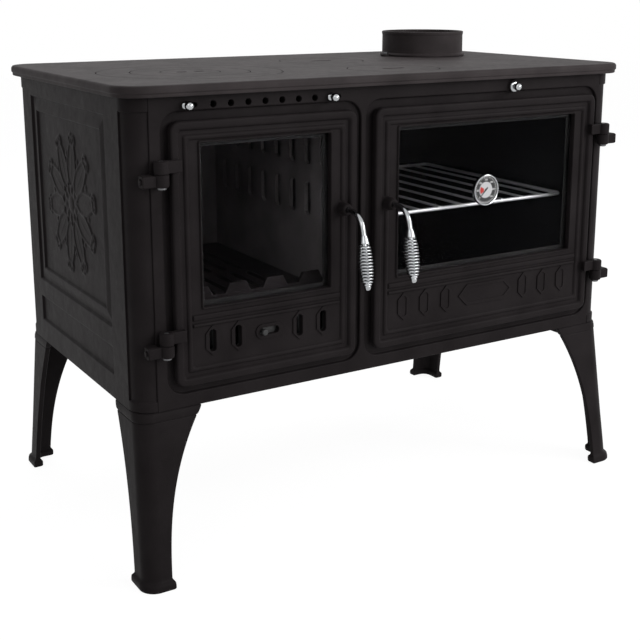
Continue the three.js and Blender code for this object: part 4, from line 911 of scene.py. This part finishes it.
glass = bpy.data.materials.new("ceramic_glass")
glass.use_nodes = True
glass_tree = glass.node_tree
glass_shader = glass_tree.nodes["Principled BSDF"]
glass_shader.inputs["Base Color"].default_value = (0.78, 0.78, 0.79, 1)
glass_shader.inputs["Transmission Weight"].default_value = 1
glass_shader.inputs["IOR"].default_value = 1.06
glass_place = glass_tree.nodes.new("ShaderNodeTexCoord").outputs["Object"]
glass_smear = add_node(glass_tree, "ShaderNodeTexNoise", {"Vector": glass_place, "Scale": 25})
glass_haze = add_node(glass_tree, "ShaderNodeMapRange", {
    "Value": glass_smear.outputs["Fac"], "To Min": 0.0, "To Max": 0.03})
glass_tree.links.new(glass_haze.outputs["Result"], glass_shader.inputs["Roughness"])
glass_clear = add_node(glass_tree, "ShaderNodeBsdfTransparent", {"Color": (0.85, 0.85, 0.86, 1)})
glass_path = glass_tree.nodes.new("ShaderNodeLightPath")
glass_mix = add_node(glass_tree, "ShaderNodeMixShader", {
    0: glass_path.outputs["Is Shadow Ray"], 1: glass_shader.outputs[0], 2: glass_clear.outputs[0]})
glass_tree.links.new(glass_mix.outputs[0], glass_tree.nodes["Material Output"].inputs["Surface"])

black_steel = grained("steel_blackened", (0.010, 0.010, 0.010), (0.018, 0.017, 0.017), (0.45, 0.6), 0.0012,
    0.0001, specular=0.1)
rope = grained("rope_grey", (0.045, 0.043, 0.04), (0.10, 0.096, 0.09), (0.85, 0.95), 0.0018, 0.0006)
rope_radius = 3.3 * mm
dial_low, dial_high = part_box("thermometer_case")
dial_x, dial_z = middle_of("thermometer_case")[::2]
for door in (fire_door, oven_door):
    low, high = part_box(f"{door.name}_glass")
    pane = shaped(f"{door.name}_pane", slab, box_outline(door.glass, 3 * mm), low.y, high.y, 0.5 * mm)
    if door is oven_door:
        cut(pane, hollow, round_outline(dial_x, dial_z, 4.3 * mm, 24), low.y, high.y, 0.2 * mm)
    fit(pane, glass, door.name, "glass", f"{door.name}_glass")

    low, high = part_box(f"{door.name}_glass_frame")
    holder = shaped(f"{door.name}_glass_frame_steel", slab, box_outline(door.glass, 4 * mm), low.y, high.y,
        0.4 * mm)
    cut(holder, hollow, box_outline(grown(door.glass, -14 * mm), 3 * mm), high.y, low.y, 0.3 * mm)
    fit(holder, black_steel, door.name, "steel", f"{door.name}_glass_frame")

    middle_y = middle_of(f"{door.name}_gasket")[1]
    middle_line = rounded(grown(door.outline, -7 * mm), 7 * mm, 8)

    def rope_skin(bm):
        rings = []
        for i, (u, v) in enumerate(middle_line):
            before, after = middle_line[i - 1], middle_line[(i + 1) % len(middle_line)]
            way = Vector((after[0] - before[0], 0, after[1] - before[1])).normalized()
            out = Vector((way.z, 0, -way.x))
            angles = [2 * math.pi * k / 10 for k in range(10)]
            rings.append([Vector((u, middle_y, v)) + out * rope_radius * math.cos(angle)
                + Vector((0, 0.54 * rope_radius * math.sin(angle), 0)) for angle in angles])
        skin(bm, rings, loop=True)

    seal = shaped(f"{door.name}_rope", rope_skin)
    fit(seal, rope, door.name, "rope_seal", f"{door.name}_gasket", sharp=80)


# ---- Hinges ----
# Lift-off hinges: a cast-iron bracket with a knuckle below the door's own, bolted to the front frame by a
# bolt from its outer side, and a turned steel pin through both.

for door, side in ((fire_door, "left"), (oven_door, "right")):
    for level, top in zip(("upper", "lower"), hinge_levels):
        node = f"{side}_{level}_hinge_bracket"
        low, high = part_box(node)
        profile = near(knuckle_radius, low.z, [(-2.4, 0), (-0.8, 0.8), (0, 2.4)])
        profile += near(knuckle_radius, top, [(0, -1), (-1, 0)])
        bracket = shaped(f"{node}_casting", turn, profile, (door.pin_x, pin_y, 0), sides=40)
        outer = door.pin_x + door.hinge_side * 28 * mm
        foot = door.pin_x + door.hinge_side * 12 * mm
        arm = (min(door.pin_x, outer), max(door.pin_x, outer), low.z + 0.8 * mm, top - 0.8 * mm)
        foot_box = (min(foot, outer), max(foot, outer), low.z, top)
        join(bracket, slab, box_outline(arm, 2 * mm), pin_y + 3.2 * mm, pin_y - 3.2 * mm, 1.4 * mm)
        join(bracket, slab, box_outline(foot_box, 2 * mm), face_y - 0.3 * mm, pin_y - 1.4 * mm, 1.4 * mm)
        cut(bracket, slab, round_outline(door.pin_x, pin_y, pin_radius + 0.3 * mm, 24), low.z - 2 * mm,
            top + 2 * mm, 0.1 * mm, axis="z")
        fit(bracket, cast_iron, "stove_body", "cast_iron", node)

        node = f"{side}_{level}_hinge_pin"
        low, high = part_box(node)
        profile = near(pin_radius, low.z, [(0.8, 0), (2.2, 1), (2.2, 3), (0, 3)])
        profile += near(pin_radius, high.z, [(0, -1.2), (-0.9, 0)])
        pin = shaped(f"{node}_steel", turn, profile, (door.pin_x, pin_y, 0), sides=32)
        fit(pin, steel, "stove_body", "steel", node)


# ---- Handles and latches ----
# A chromed bar turns in the door's hub and bends down. Below a cone it carries a grip wound from wire, open
# between its turns, and a round nut ends it. A steel latch behind the front frame turns with it.

chrome = grained("chrome_bright", (0.36, 0.37, 0.38), (0.45, 0.46, 0.47), (0.10, 0.18), 0.003, 0.00002,
    metallic=1.0)
handle_reach = 36 * mm
handle_bend = 30 * mm
grip_slope = math.radians(9)
cone_length = 12 * mm
cone_radius = 7.5 * mm
wire_size = 2.9 * mm
coil_turns = 12
coil_length = 57 * mm
coil_end_radius = 7 * mm
coil_middle_radius = 10 * mm
nut_radius = 5 * mm
grip_way = Vector((0, -math.sin(grip_slope), -math.cos(grip_slope)))


def handle_skin(bm, door):
    """The bar as stations of (place, direction, radius), with a ring of points at each."""
    corner = Vector((door.handle_x, hub_face_y - handle_reach, door.latch_z))
    start = corner + Vector((0, handle_bend, 0))
    end = corner + grip_way * handle_bend
    spindle = Vector((door.handle_x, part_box(f"{door.prefix}_latch")[0].y - 0.3 * mm, door.latch_z))
    outward = Vector((0, -1, 0))
    bars = [(spindle + outward * 0.01 * mm, outward, rod_radius - 0.6 * mm),
        (spindle + outward * 0.6 * mm, outward, rod_radius)]
    for i in range(17):
        t = i / 16
        place = start * (1 - t) ** 2 + corner * 2 * t * (1 - t) + end * t * t
        way = ((corner - start) * (1 - t) + (end - corner) * t).normalized()
        bars.append((place, way, rod_radius))
    nut = cone_length + coil_length + 0.6 * mm
    lengths = near(0, rod_radius, [(0.4, 0.4), (1.2, 1)])
    lengths += near(cone_length, cone_radius, [(-1.4, -0.2), (-0.5, 0), (0, -0.6)])
    lengths += [(cone_length + 0.05 * mm, rod_radius), (nut, rod_radius)]
    lengths += near(nut, nut_radius, [
        (0.05, 1.2), (0.9, 1.6), (2.2, 1.2), (3, -0.4), (4.2, 0), (7.5, -0.6), (9.3, -2), (10, -3.6)])
    for distance, radius in lengths:
        bars.append((end + grip_way * distance, grip_way, radius))
    rings = []
    for place, way, radius in bars:
        across = Vector((1, 0, 0))
        up = across.cross(way)
        rings.append([place + across * radius * math.cos(math.pi * k / 12)
            + up * radius * math.sin(math.pi * k / 12) for k in range(24)])
    skin(bm, rings)


def node_tree(name, inputs):
    """An empty Geometry Nodes tree, and what it is given: a geometry and the named inputs."""
    tree = bpy.data.node_groups.new(name, "GeometryNodeTree")
    for way in ("OUTPUT", "INPUT"):
        tree.interface.new_socket("Geometry", in_out=way, socket_type="NodeSocketGeometry")
    for label, kind in inputs.items():
        tree.interface.new_socket(label, in_out="INPUT", socket_type=f"NodeSocket{kind}")
    return tree, tree.nodes.new("NodeGroupInput").outputs


def end_tree(tree, given, shape):
    """The tree's end: real faces in the finish that it is given."""
    real = add_node(tree, "GeometryNodeRealizeInstances", {"Geometry": shape}).outputs[0]
    paint = add_node(tree, "GeometryNodeSetMaterial", {"Geometry": real, "Material": given["Finish"]})
    tree.links.new(paint.outputs[0], tree.nodes.new("NodeGroupOutput").inputs["Geometry"])


def swept_wire(tree, path, radius):
    """A round wire with closed ends along a path."""
    section = add_node(tree, "GeometryNodeCurvePrimitiveCircle", {"Resolution": 12, "Radius": radius})
    return add_node(tree, "GeometryNodeCurveToMesh", {
        "Curve": path, "Profile Curve": section.outputs["Curve"], "Fill Caps": True}).outputs["Mesh"]


def copies(tree, points, instance, **more):
    inputs = {"Points": points, "Instance": instance, **more}
    return add_node(tree, "GeometryNodeInstanceOnPoints", inputs).outputs["Instances"]


def grow_piece(name, tree, points, values):
    """A plain mesh grown by a tree from points, with its named inputs set."""
    mesh = bpy.data.meshes.new(f"{name}_points")
    mesh.from_pydata([tuple(point) for point in points], [], [])
    piece = bpy.data.objects.new(name, mesh)
    bpy.context.scene.collection.objects.link(piece)
    grower = piece.modifiers.new("grow", "NODES")
    grower.node_group = tree
    for socket in tree.interface.items_tree:
        if socket.in_out == "INPUT" and socket.name in values:
            grower[socket.identifier] = values[socket.name]
    settle(piece)
    return piece


coil_tree, coil_given = node_tree("wound_grip", {"Start": "Vector", "End": "Vector", "Across": "Vector",
    "Upward": "Vector", "Turns": "Float", "End Radius": "Float", "Swell": "Float", "Wire Radius": "Float",
    "Finish": "Material"})
coil_line = add_node(coil_tree, "GeometryNodeCurvePrimitiveLine",
    {"Start": coil_given["Start"], "End": coil_given["End"]})
coil_steps = add_node(coil_tree, "GeometryNodeResampleCurve", {
    "Curve": coil_line.outputs["Curve"], "Count": coil_turns * 20 + 1})
wound = coil_tree.nodes.new("GeometryNodeSplineParameter").outputs["Factor"]
arch = math_node(coil_tree, "SINE", math_node(coil_tree, "MULTIPLY", wound, math.pi))
bulge = math_node(coil_tree, "POWER", math_node(coil_tree, "MAXIMUM", arch, 0.0), 0.7)
swell = math_node(coil_tree, "MULTIPLY", coil_given["Swell"], bulge)
coil_radius = math_node(coil_tree, "ADD", coil_given["End Radius"], swell)
turned = math_node(coil_tree, "MULTIPLY", wound, coil_given["Turns"])
coil_angle = math_node(coil_tree, "MULTIPLY", turned, 2 * math.pi)
coil_ways = []
for way, operation in (("Across", "COSINE"), ("Upward", "SINE")):
    reach = math_node(coil_tree, "MULTIPLY", coil_radius, math_node(coil_tree, operation, coil_angle))
    scaled = add_node(coil_tree, "ShaderNodeVectorMath", {0: coil_given[way], "Scale": reach}, "SCALE")
    coil_ways.append(scaled.outputs[0])
coil_offset = add_node(coil_tree, "ShaderNodeVectorMath", dict(enumerate(coil_ways)), "ADD").outputs[0]
coil_wind = add_node(coil_tree, "GeometryNodeSetPosition", {
    "Geometry": coil_steps.outputs["Curve"], "Offset": coil_offset})
coil_wire = swept_wire(coil_tree, coil_wind.outputs["Geometry"], coil_given["Wire Radius"])
end_tree(coil_tree, coil_given, coil_wire)

for door, prefix in ((fire_door, "firebox"), (oven_door, "oven")):
    bar = shaped(f"{prefix}_handle_bar", handle_skin, door)
    fit(bar, chrome, f"{prefix}_handle", "chrome", f"{prefix}_handle_rod", sharp=50)

    grip_start = Vector((door.handle_x, hub_face_y - handle_reach, door.latch_z)) + grip_way * handle_bend
    coil_first = grip_start + grip_way * (cone_length + 0.3 * mm + wire_size / 2)
    coil_last = coil_first + grip_way * (coil_length - wire_size)
    coil = grow_piece(f"{prefix}_handle_grip", coil_tree, [(0, 0, 0)],
        {"Start": coil_first, "End": coil_last, "Across": (1.0, 0.0, 0.0),
        "Upward": Vector((1, 0, 0)).cross(grip_way), "Turns": float(coil_turns),
        "End Radius": coil_end_radius, "Swell": coil_middle_radius - coil_end_radius,
        "Wire Radius": wire_size / 2, "Finish": chrome})
    fit(coil, chrome, f"{prefix}_handle", "chrome", f"{prefix}_handle_coil", sharp=60)

    latch = soft_copy(f"{prefix}_latch", f"{prefix}_latch_steel", 0.8 * mm)
    fit(latch, steel, f"{prefix}_handle", "steel", f"{prefix}_latch")


# ---- Firebox and ash pan ----
# Slotted cast-iron liners round the fire, a divider towards the oven, a slotted grate, and a guard with a
# toothed top edge that keeps the logs off the glass. Below lies a folded sheet-steel pan.

fire_iron = grained("fire_iron_burnt", (0.10, 0.090, 0.092), (0.16, 0.146, 0.148), (0.6, 0.8), 0.0022,
    0.00012, specular=0.15, wave_depth=0.0008)
for node in ("firebox_left_liner", "firebox_right_liner", "firebox_back_liner", "divider"):
    lining = soft_copy(node, f"{node}_casting", 0.9 * mm)
    fit(lining, fire_iron, "stove_body", "cast_iron", node)
for node in ("fire_grate", "log_guard"):
    casting = soft_copy(node, f"{node}_casting", 0.9 * mm)
    fit(casting, cast_iron, "stove_body", "cast_iron", node)
ash_pan = soft_copy("ash_pan", "ash_pan_folded", 0.3 * mm)
fit(ash_pan, steel, "ash_pan", "steel", "ash_pan")


# ---- Oven ----
# An enamelled steel box with a ledge on each side, and a chromed wire rack that slides on the ledges: a
# bent wire frame with thinner wires welded across it from front to back.

enamel = grained("oven_enamel", (0.006, 0.006, 0.007), (0.010, 0.010, 0.011), (0.14, 0.24), 0.006, 0.00008,
    specular=0.5, wave_depth=0.0005)
oven_box = soft_copy("oven_liner", "oven_liner_enamelled", 0.6 * mm)
fit(oven_box, enamel, "stove_body", "enamel", "oven_liner")

rack_low, rack_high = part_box("oven_rack")
rack_frame_radius = 3 * mm
rack_wire_radius = 2 * mm
rack_wire_count = 8
rack_z = rack_low.z + rack_frame_radius
rack_line = (rack_low.x + rack_frame_radius, rack_high.x - rack_frame_radius,
    rack_low.y + rack_frame_radius, rack_high.y - rack_frame_radius)


def closed_wire(bm, line, z, radius):
    """A round wire bent along a closed flat line."""
    rings = []
    for i, (u, v) in enumerate(line):
        before, after = line[i - 1], line[(i + 1) % len(line)]
        way = Vector((after[0] - before[0], after[1] - before[1], 0)).normalized()
        out = Vector((way.y, -way.x, 0))
        rings.append([Vector((u, v, z)) + out * radius * math.cos(math.pi * k / 7)
            + Vector((0, 0, radius * math.sin(math.pi * k / 7))) for k in range(14)])
    skin(bm, rings, loop=True)


rack_tree, rack_given = node_tree("rack_wires", {
    "Length": "Float", "Wire Radius": "Float", "Finish": "Material"})
wire_end = add_node(rack_tree, "ShaderNodeCombineXYZ", {"Y": rack_given["Length"]})
wire_line = add_node(rack_tree, "GeometryNodeCurvePrimitiveLine", {"End": wire_end.outputs[0]})
rack_wire = swept_wire(rack_tree, wire_line.outputs["Curve"], rack_given["Wire Radius"])
end_tree(rack_tree, rack_given, copies(rack_tree, rack_given["Geometry"], rack_wire))

plated = grained("rack_plated", (0.62, 0.62, 0.63), (0.76, 0.76, 0.77), (0.24, 0.36), 0.002, 0.00002,
    metallic=0.6)
rack_frame = shaped("oven_rack_frame", closed_wire, rounded(rack_line, 9 * mm, 8), rack_z,
    rack_frame_radius)
fit(rack_frame, plated, "oven_rack", "chrome", "oven_rack", sharp=80)
wire_gap = (rack_line[1] - rack_line[0]) / (rack_wire_count + 1)
wire_starts = [(rack_line[0] + wire_gap * (i + 1), rack_line[2] - 1 * mm, rack_z + rack_wire_radius)
    for i in range(rack_wire_count)]
rack_wires = grow_piece("oven_rack_wires", rack_tree, wire_starts, {
    "Length": rack_line[3] - rack_line[2] + 2 * mm, "Wire Radius": rack_wire_radius, "Finish": plated})
fit(rack_wires, plated, "oven_rack", "chrome", sharp=50)


# ---- Air sliders and damper ----
# A blackened slider with a small knob in the firebox door's slot, a blackened bar behind the rail's holes
# with two chromed knobs, and the damper's chromed knob with its flange on the boss above the oven door.

def knob_profile(face, radius, shank, end):
    """A ball on a shank with a small flange behind it, from its face to its end."""
    points = []
    sweep = math.pi - math.asin((shank + 0.6 * mm) / radius)
    for i in range(13):
        angle = 0.12 + (sweep - 0.12) * i / 12
        points.append((radius * math.sin(angle), face + radius * (1 - math.cos(angle))))
    behind = points[-1][1]
    return points + [(shank + 0.5 * mm, behind + 0.6 * mm), (shank, behind + 1 * mm), (shank, end)]


def flange_profile(front_y, back_y, radius, shank):
    """A dished washer round a shank."""
    return [(shank, front_y), (radius * 0.6, front_y + 0.2 * mm), (radius - 0.8 * mm, front_y + 1.2 * mm),
        (radius, front_y + 2 * mm), (radius, back_y), (shank, back_y)]


slider_plate_y = slider_high.y - 3 * mm
slider_outline = box_outline(seen_from_front("door_air_slider"), 1 * mm)
door_slider = shaped("door_air_slider_plate", slab, slider_outline, slider_high.y, slider_plate_y, 0.4 * mm)
for x in air_places:
    cut(door_slider, hollow, cut_ends(x, air_z, 10 * mm, 32 * mm), slider_plate_y, slider_high.y, 0.3 * mm)
blackened = grained("slider_blackened", (0.016, 0.016, 0.017), (0.032, 0.031, 0.031), (0.45, 0.6), 0.0012,
    0.0001, metallic=0.3)
fit(door_slider, blackened, "door_air_slider", "chrome", "door_air_slider")
slider_knob_x = fire_door.middle - 10 * mm
knob_points = near(0, slider_low.y, [(2.6, 0), (4, 0.5), (4.8, 1.6), (5, 3), (4.6, 5), (3.6, 6.2)])
knob_points.append((3.4 * mm, slider_plate_y + 0.5 * mm))
slider_knob = shaped("door_air_slider_knob", turn, knob_points, (slider_knob_x, 0, air_z), axis="y",
    sides=32)
fit(slider_knob, blackened, "door_air_slider", "chrome")

rail_low, rail_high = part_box("top_air_slider")
rail_bar_y = rail_high.y - 3 * mm
rail_outline = box_outline(seen_from_front("top_air_slider"), 1 * mm)
rail_bar = shaped("top_air_slider_bar", slab, rail_outline, rail_high.y, rail_bar_y, 0.4 * mm)
for x in rail_holes:
    cut(rail_bar, hollow, round_outline(x, rail_z, rail_hole_radius, 20), rail_bar_y, rail_high.y, 0.3 * mm)
fit(rail_bar, blackened, "top_air_slider", "chrome", "top_air_slider")
for x, place in zip(rail_knobs, ("left", "right")):
    pull = shaped(f"top_air_slider_{place}_knob", turn, knob_profile(rail_low.y, 6.5 * mm, 3 * mm,
        rail_bar_y + 0.5 * mm), (x, 0, rail_z), axis="y", sides=32)
    fit(pull, chrome, "top_air_slider", "chrome")
    collar_ring = shaped(f"top_air_slider_{place}_flange", turn,
        flange_profile(face_y - 3.2 * mm, face_y - 0.4 * mm, 6 * mm, 2.9 * mm), (x, 0, rail_z), axis="y",
        sides=32, loop=True)
    fit(collar_ring, chrome, "top_air_slider", "chrome")

damper_low, damper_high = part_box("damper_rod")
damper_knob = shaped("damper_rod_turned", turn, knob_profile(damper_low.y, 6.5 * mm, 3 * mm,
    damper_high.y - 0.5 * mm) + [(2.4 * mm, damper_high.y)], (damper_x, 0, rail_z), axis="y", sides=32)
fit(damper_knob, chrome, "damper", "chrome", "damper_rod")
damper_flange = shaped("damper_rod_flange", turn, flange_profile(boss_y - 3 * mm, boss_y - 0.4 * mm,
    8.5 * mm, 2.9 * mm), (damper_x, 0, rail_z), axis="y", sides=32, loop=True)
fit(damper_flange, chrome, "damper", "chrome")
damper_nut = shaped("damper_rod_nut", slab, round_outline(damper_x, rail_z, 6 * mm, 6),
    damper_high.y - 4 * mm, damper_high.y, 0.4 * mm)
cut(damper_nut, slab, round_outline(damper_x, rail_z, 2.9 * mm, 24), damper_high.y - 6 * mm,
    damper_high.y + 2 * mm, 0.1 * mm)
fit(damper_nut, steel, "damper", "steel")
damper_flap = soft_copy("damper_plate", "damper_plate_casting", 0.4 * mm)
fit(damper_flap, fire_iron, "damper", "cast_iron", "damper_plate")


# ---- Oven thermometer ----
# A chromed case on the oven's glass. Its face has a dark ring with white strokes and numbers round a
# brushed disc with a red sector, a needle on a hub, and a nut behind the glass.

dial_radius = (dial_high.x - dial_low.x) / 2
dial_front = dial_low.y
dial_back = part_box("oven_door_glass")[0].y - 0.3 * mm
dial_face = dial_front + 3 * mm
case_points = [(4 * mm, dial_high.y), (4 * mm, dial_back)]
case_points += near(dial_radius, dial_back, [(-2.4, 0), (-0.8, -0.6), (0, -2)])
case_points += near(dial_radius, dial_front, [(0, 1.6), (-0.5, 0.5), (-1.4, 0), (-2.4, 0.3), (-3, 1.2),
    (-3.2, 3.6)])
case = shaped("thermometer_case_chromed", turn, case_points, (dial_x, 0, dial_z), axis="y", sides=72)
fit(case, chrome, "oven_door", "dial", "thermometer_case")


def dial_disc(name, outer, inner, front_y, back_y, finish, soft=0.15 * mm):
    """A thin printed or brushed ring or disc of the dial's face."""
    profile = [(outer, back_y), (outer, front_y + soft), (outer - soft, front_y)]
    if inner:
        profile += [(inner + soft, front_y), (inner, front_y + soft), (inner, back_y)]
    disc = shaped(name, turn, profile, (dial_x, 0, dial_z), axis="y", sides=72, loop=bool(inner))
    fit(disc, finish, "oven_door", "dial")


dial_black = grained("dial_black", (0.012, 0.012, 0.013), (0.018, 0.018, 0.019), (0.4, 0.5), 0.001, 0.00001)
dial_silver = grained("dial_silver", (0.42, 0.42, 0.43), (0.55, 0.55, 0.56), (0.28, 0.4), 0.0006, 0.00002,
    metallic=0.85)
dial_white = grained("dial_white", (0.74, 0.74, 0.73), (0.84, 0.84, 0.83), (0.4, 0.5), 0.001, 0.00001)
dial_red = grained("dial_red", (0.42, 0.018, 0.012), (0.52, 0.03, 0.02), (0.35, 0.45), 0.001, 0.00001)
scale_radius = dial_radius - 3.3 * mm
disc_radius = 13 * mm
dial_disc("thermometer_scale_ring", scale_radius, 0, dial_face, dial_face + 0.8 * mm, dial_black)
dial_disc("thermometer_brushed_disc", disc_radius, 0, dial_face - 0.25 * mm, dial_face + 0.1 * mm,
    dial_silver)
dial_disc("thermometer_white_line", scale_radius - 0.3 * mm, scale_radius - 0.8 * mm,
    dial_face - 0.15 * mm, dial_face + 0.1 * mm, dial_white, soft=0.05 * mm)


def sector_skin(bm):
    """The red sector at the left of the brushed disc."""
    outline = []
    for radius, start, step in ((4 * mm, 210, -5), (11.5 * mm, 150, 5)):
        for i in range(13):
            angle = math.radians(start + step * i)
            outline.append((dial_x + radius * math.cos(angle), dial_z + radius * math.sin(angle)))
    skin(bm, [[(u, y, v) for u, v in outline] for y in (dial_face, dial_face - 0.4 * mm)])


sector = shaped("thermometer_red_sector", sector_skin)
fit(sector, dial_red, "oven_door", "dial")

stroke_count = 36
stroke_tree, stroke_given = node_tree("dial_strokes", {
    "Radius": "Float", "Size": "Vector", "Finish": "Material"})
stroke_ring = add_node(stroke_tree, "GeometryNodeMeshCircle", {
    "Vertices": stroke_count, "Radius": stroke_given["Radius"]})
stroke_bar = add_node(stroke_tree, "GeometryNodeMeshCube", {"Size": stroke_given["Size"]})
stroke_index = stroke_tree.nodes.new("GeometryNodeInputIndex").outputs[0]
stroke_angle = math_node(stroke_tree, "MULTIPLY", stroke_index, 2 * math.pi / stroke_count)
stroke_turn = add_node(stroke_tree, "ShaderNodeCombineXYZ", {"Z": stroke_angle})
stroke_stand = add_node(stroke_tree, "GeometryNodeTransform", {"Geometry": copies(stroke_tree,
    stroke_ring.outputs["Mesh"], stroke_bar.outputs["Mesh"], Rotation=stroke_turn.outputs[0]),
    "Rotation": (math.pi / 2, 0, 0)})
end_tree(stroke_tree, stroke_given, stroke_stand.outputs["Geometry"])
strokes = grow_piece("thermometer_strokes", stroke_tree, [(0, 0, 0)],
    {"Radius": scale_radius - 2 * mm, "Size": (2 * mm, 0.45 * mm, 0.3 * mm), "Finish": dial_white})
for vertex in strokes.data.vertices:
    vertex.co += Vector((dial_x, dial_face - 0.05 * mm, dial_z))
fit(strokes, dial_white, "oven_door", "dial")

number_radius = 16.2 * mm
numbers_bm = bmesh.new()
for number in range(7):
    text = bpy.data.curves.new("number", "FONT")
    text.body = str(number * 50)
    text.size = 4.2 * mm
    text.extrude = 0.12 * mm
    text.resolution_u = 3
    text.align_x = text.align_y = "CENTER"
    label = bpy.data.objects.new("number", text)
    bpy.context.scene.collection.objects.link(label)
    settled = bpy.data.meshes.new_from_object(label.evaluated_get(bpy.context.evaluated_depsgraph_get()))
    angle = math.radians(225 - 45 * number)
    spot = Vector((dial_x + number_radius * math.cos(angle), dial_face - 0.1 * mm,
        dial_z + number_radius * math.sin(angle)))
    for vertex in settled.vertices:
        x, y, z = vertex.co
        vertex.co = spot + Vector((x, -z, y))
    numbers_bm.from_mesh(settled)
    bpy.data.objects.remove(label)
    bpy.data.meshes.remove(settled)
numbers = piece_of(numbers_bm, "thermometer_numbers")
fit(numbers, dial_white, "oven_door", "dial")

needle_low, needle_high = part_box("thermometer_needle")
needle_angle = math.radians(225)
needle_way = Vector((math.cos(needle_angle), 0, math.sin(needle_angle)))
needle_side = Vector((-needle_way.z, 0, needle_way.x))


def needle_skin(bm):
    spot = Vector((dial_x, 0, dial_z))
    outline = [(-5 * mm, 1.1 * mm), (0, 0.9 * mm), (12 * mm, 0.45 * mm), (15.6 * mm, 0.1 * mm),
        (15.6 * mm, -0.1 * mm), (12 * mm, -0.45 * mm), (0, -0.9 * mm), (-5 * mm, -1.1 * mm)]
    skin(bm, [[spot + needle_way * u + needle_side * v + Vector((0, y, 0)) for u, v in outline]
        for y in (dial_face - 1 * mm, dial_face - 0.5 * mm)])


needle = shaped("thermometer_needle_arm", needle_skin)
hub_points = near(0, needle_low.y, [(0.6, 0), (1.8, 0.15), (2.5, 0.6)]) + [(2.6 * mm, needle_high.y)]
join(needle, turn, hub_points, (dial_x, 0, dial_z), axis="y", sides=32)
fit(needle, dial_black, "thermometer_needle", "cast_iron", "thermometer_needle")
dial_nut = soft_copy("thermometer_nut", "thermometer_nut_steel", 0.3 * mm)
fit(dial_nut, steel, "oven_door", "steel", "thermometer_nut")


# ---- Screws and bolts ----
# Small steel heads: hexagon heads at the back panel's edge and on the hinge brackets, and screws round
# each glass frame. One tree makes them all, as a head on each point of a few rows.

head_tree, head_given = node_tree("bolt_heads", {
    "Radius": "Float", "Height": "Float", "Sides": "Int", "Facing": "Vector", "Finish": "Material"})
head_body = add_node(head_tree, "GeometryNodeMeshCylinder", {"Vertices": head_given["Sides"],
    "Side Segments": 2, "Radius": head_given["Radius"], "Depth": head_given["Height"]})
head_spot = head_tree.nodes.new("GeometryNodeInputPosition").outputs[0]
head_parts = add_node(head_tree, "ShaderNodeSeparateXYZ", {0: head_spot}).outputs
head_level = math_node(head_tree, "DIVIDE", head_parts["Z"], head_given["Height"])
head_crown = math_node(head_tree, "GREATER_THAN", head_level, 0.25)
head_middle = math_node(head_tree, "LESS_THAN", math_node(head_tree, "ABSOLUTE", head_level), 0.25)
head_rise = math_node(head_tree, "MULTIPLY", head_given["Height"], 0.22)
head_shift = {"Z": math_node(head_tree, "MULTIPLY", head_rise, head_middle)}
for axis in ("X", "Y"):
    narrowing = math_node(head_tree, "MULTIPLY", head_parts[axis], -0.2)
    head_shift[axis] = math_node(head_tree, "MULTIPLY", narrowing, head_crown)
head_form = add_node(head_tree, "GeometryNodeSetPosition", {"Geometry": head_body.outputs["Mesh"],
    "Offset": add_node(head_tree, "ShaderNodeCombineXYZ", head_shift).outputs[0]})
head_way = add_node(head_tree, "FunctionNodeAlignEulerToVector", {"Vector": head_given["Facing"]})
head_way.axis = "Z"
end_tree(head_tree, head_given, copies(head_tree, head_given["Geometry"], head_form.outputs["Geometry"],
    Rotation=head_way.outputs[0]))


def heads(name, points, radius, height, sides, facing, finish, body, slot):
    piece = grow_piece(name, head_tree, points, {
        "Radius": radius, "Height": height, "Sides": sides, "Facing": facing, "Finish": finish})
    fit(piece, finish, body, slot, sharp=25)


def along_edges(box, inward, counts):
    """Points round a box: the first count across its top and bottom, the second up its sides."""
    left, right, low, high = grown(box, -inward)
    across, up = counts
    points = [(left + (right - left) * i / (across - 1), v) for i in range(across) for v in (low, high)]
    return points + [(u, low + (high - low) * i / (up + 1)) for i in range(1, up + 1)
        for u in (left, right)]


back_bolts = [(u, back_high.y + 1.2 * mm, v) for u, v in along_edges(back_face, 22 * mm, (6, 2))]
heads("back_panel_bolts", back_bolts, 5.5 * mm, 3.2 * mm, 6, (0.0, 1.0, 0.0), cast_iron, "stove_body",
    "cast_iron")
for door, side, way in ((fire_door, "left", -1.0), (oven_door, "right", 1.0)):
    head_x = door.pin_x + way * 28.8 * mm
    heads(f"{side}_hinge_bolts", [(head_x, pin_y + 4 * mm, top - 8.5 * mm) for top in hinge_levels],
        4.5 * mm, 3 * mm, 6, (way, 0.0, 0.0), cast_iron, "stove_body", "cast_iron")
    holder_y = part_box(f"{door.name}_glass_frame")[1].y
    screws = [(u, holder_y + 0.6 * mm, v) for u, v in along_edges(door.glass, 7 * mm, (3, 1))]
    heads(f"{door.name}_glass_screws", screws, 3 * mm, 1.6 * mm, 12, (0.0, 1.0, 0.0), steel, door.name,
        "steel")
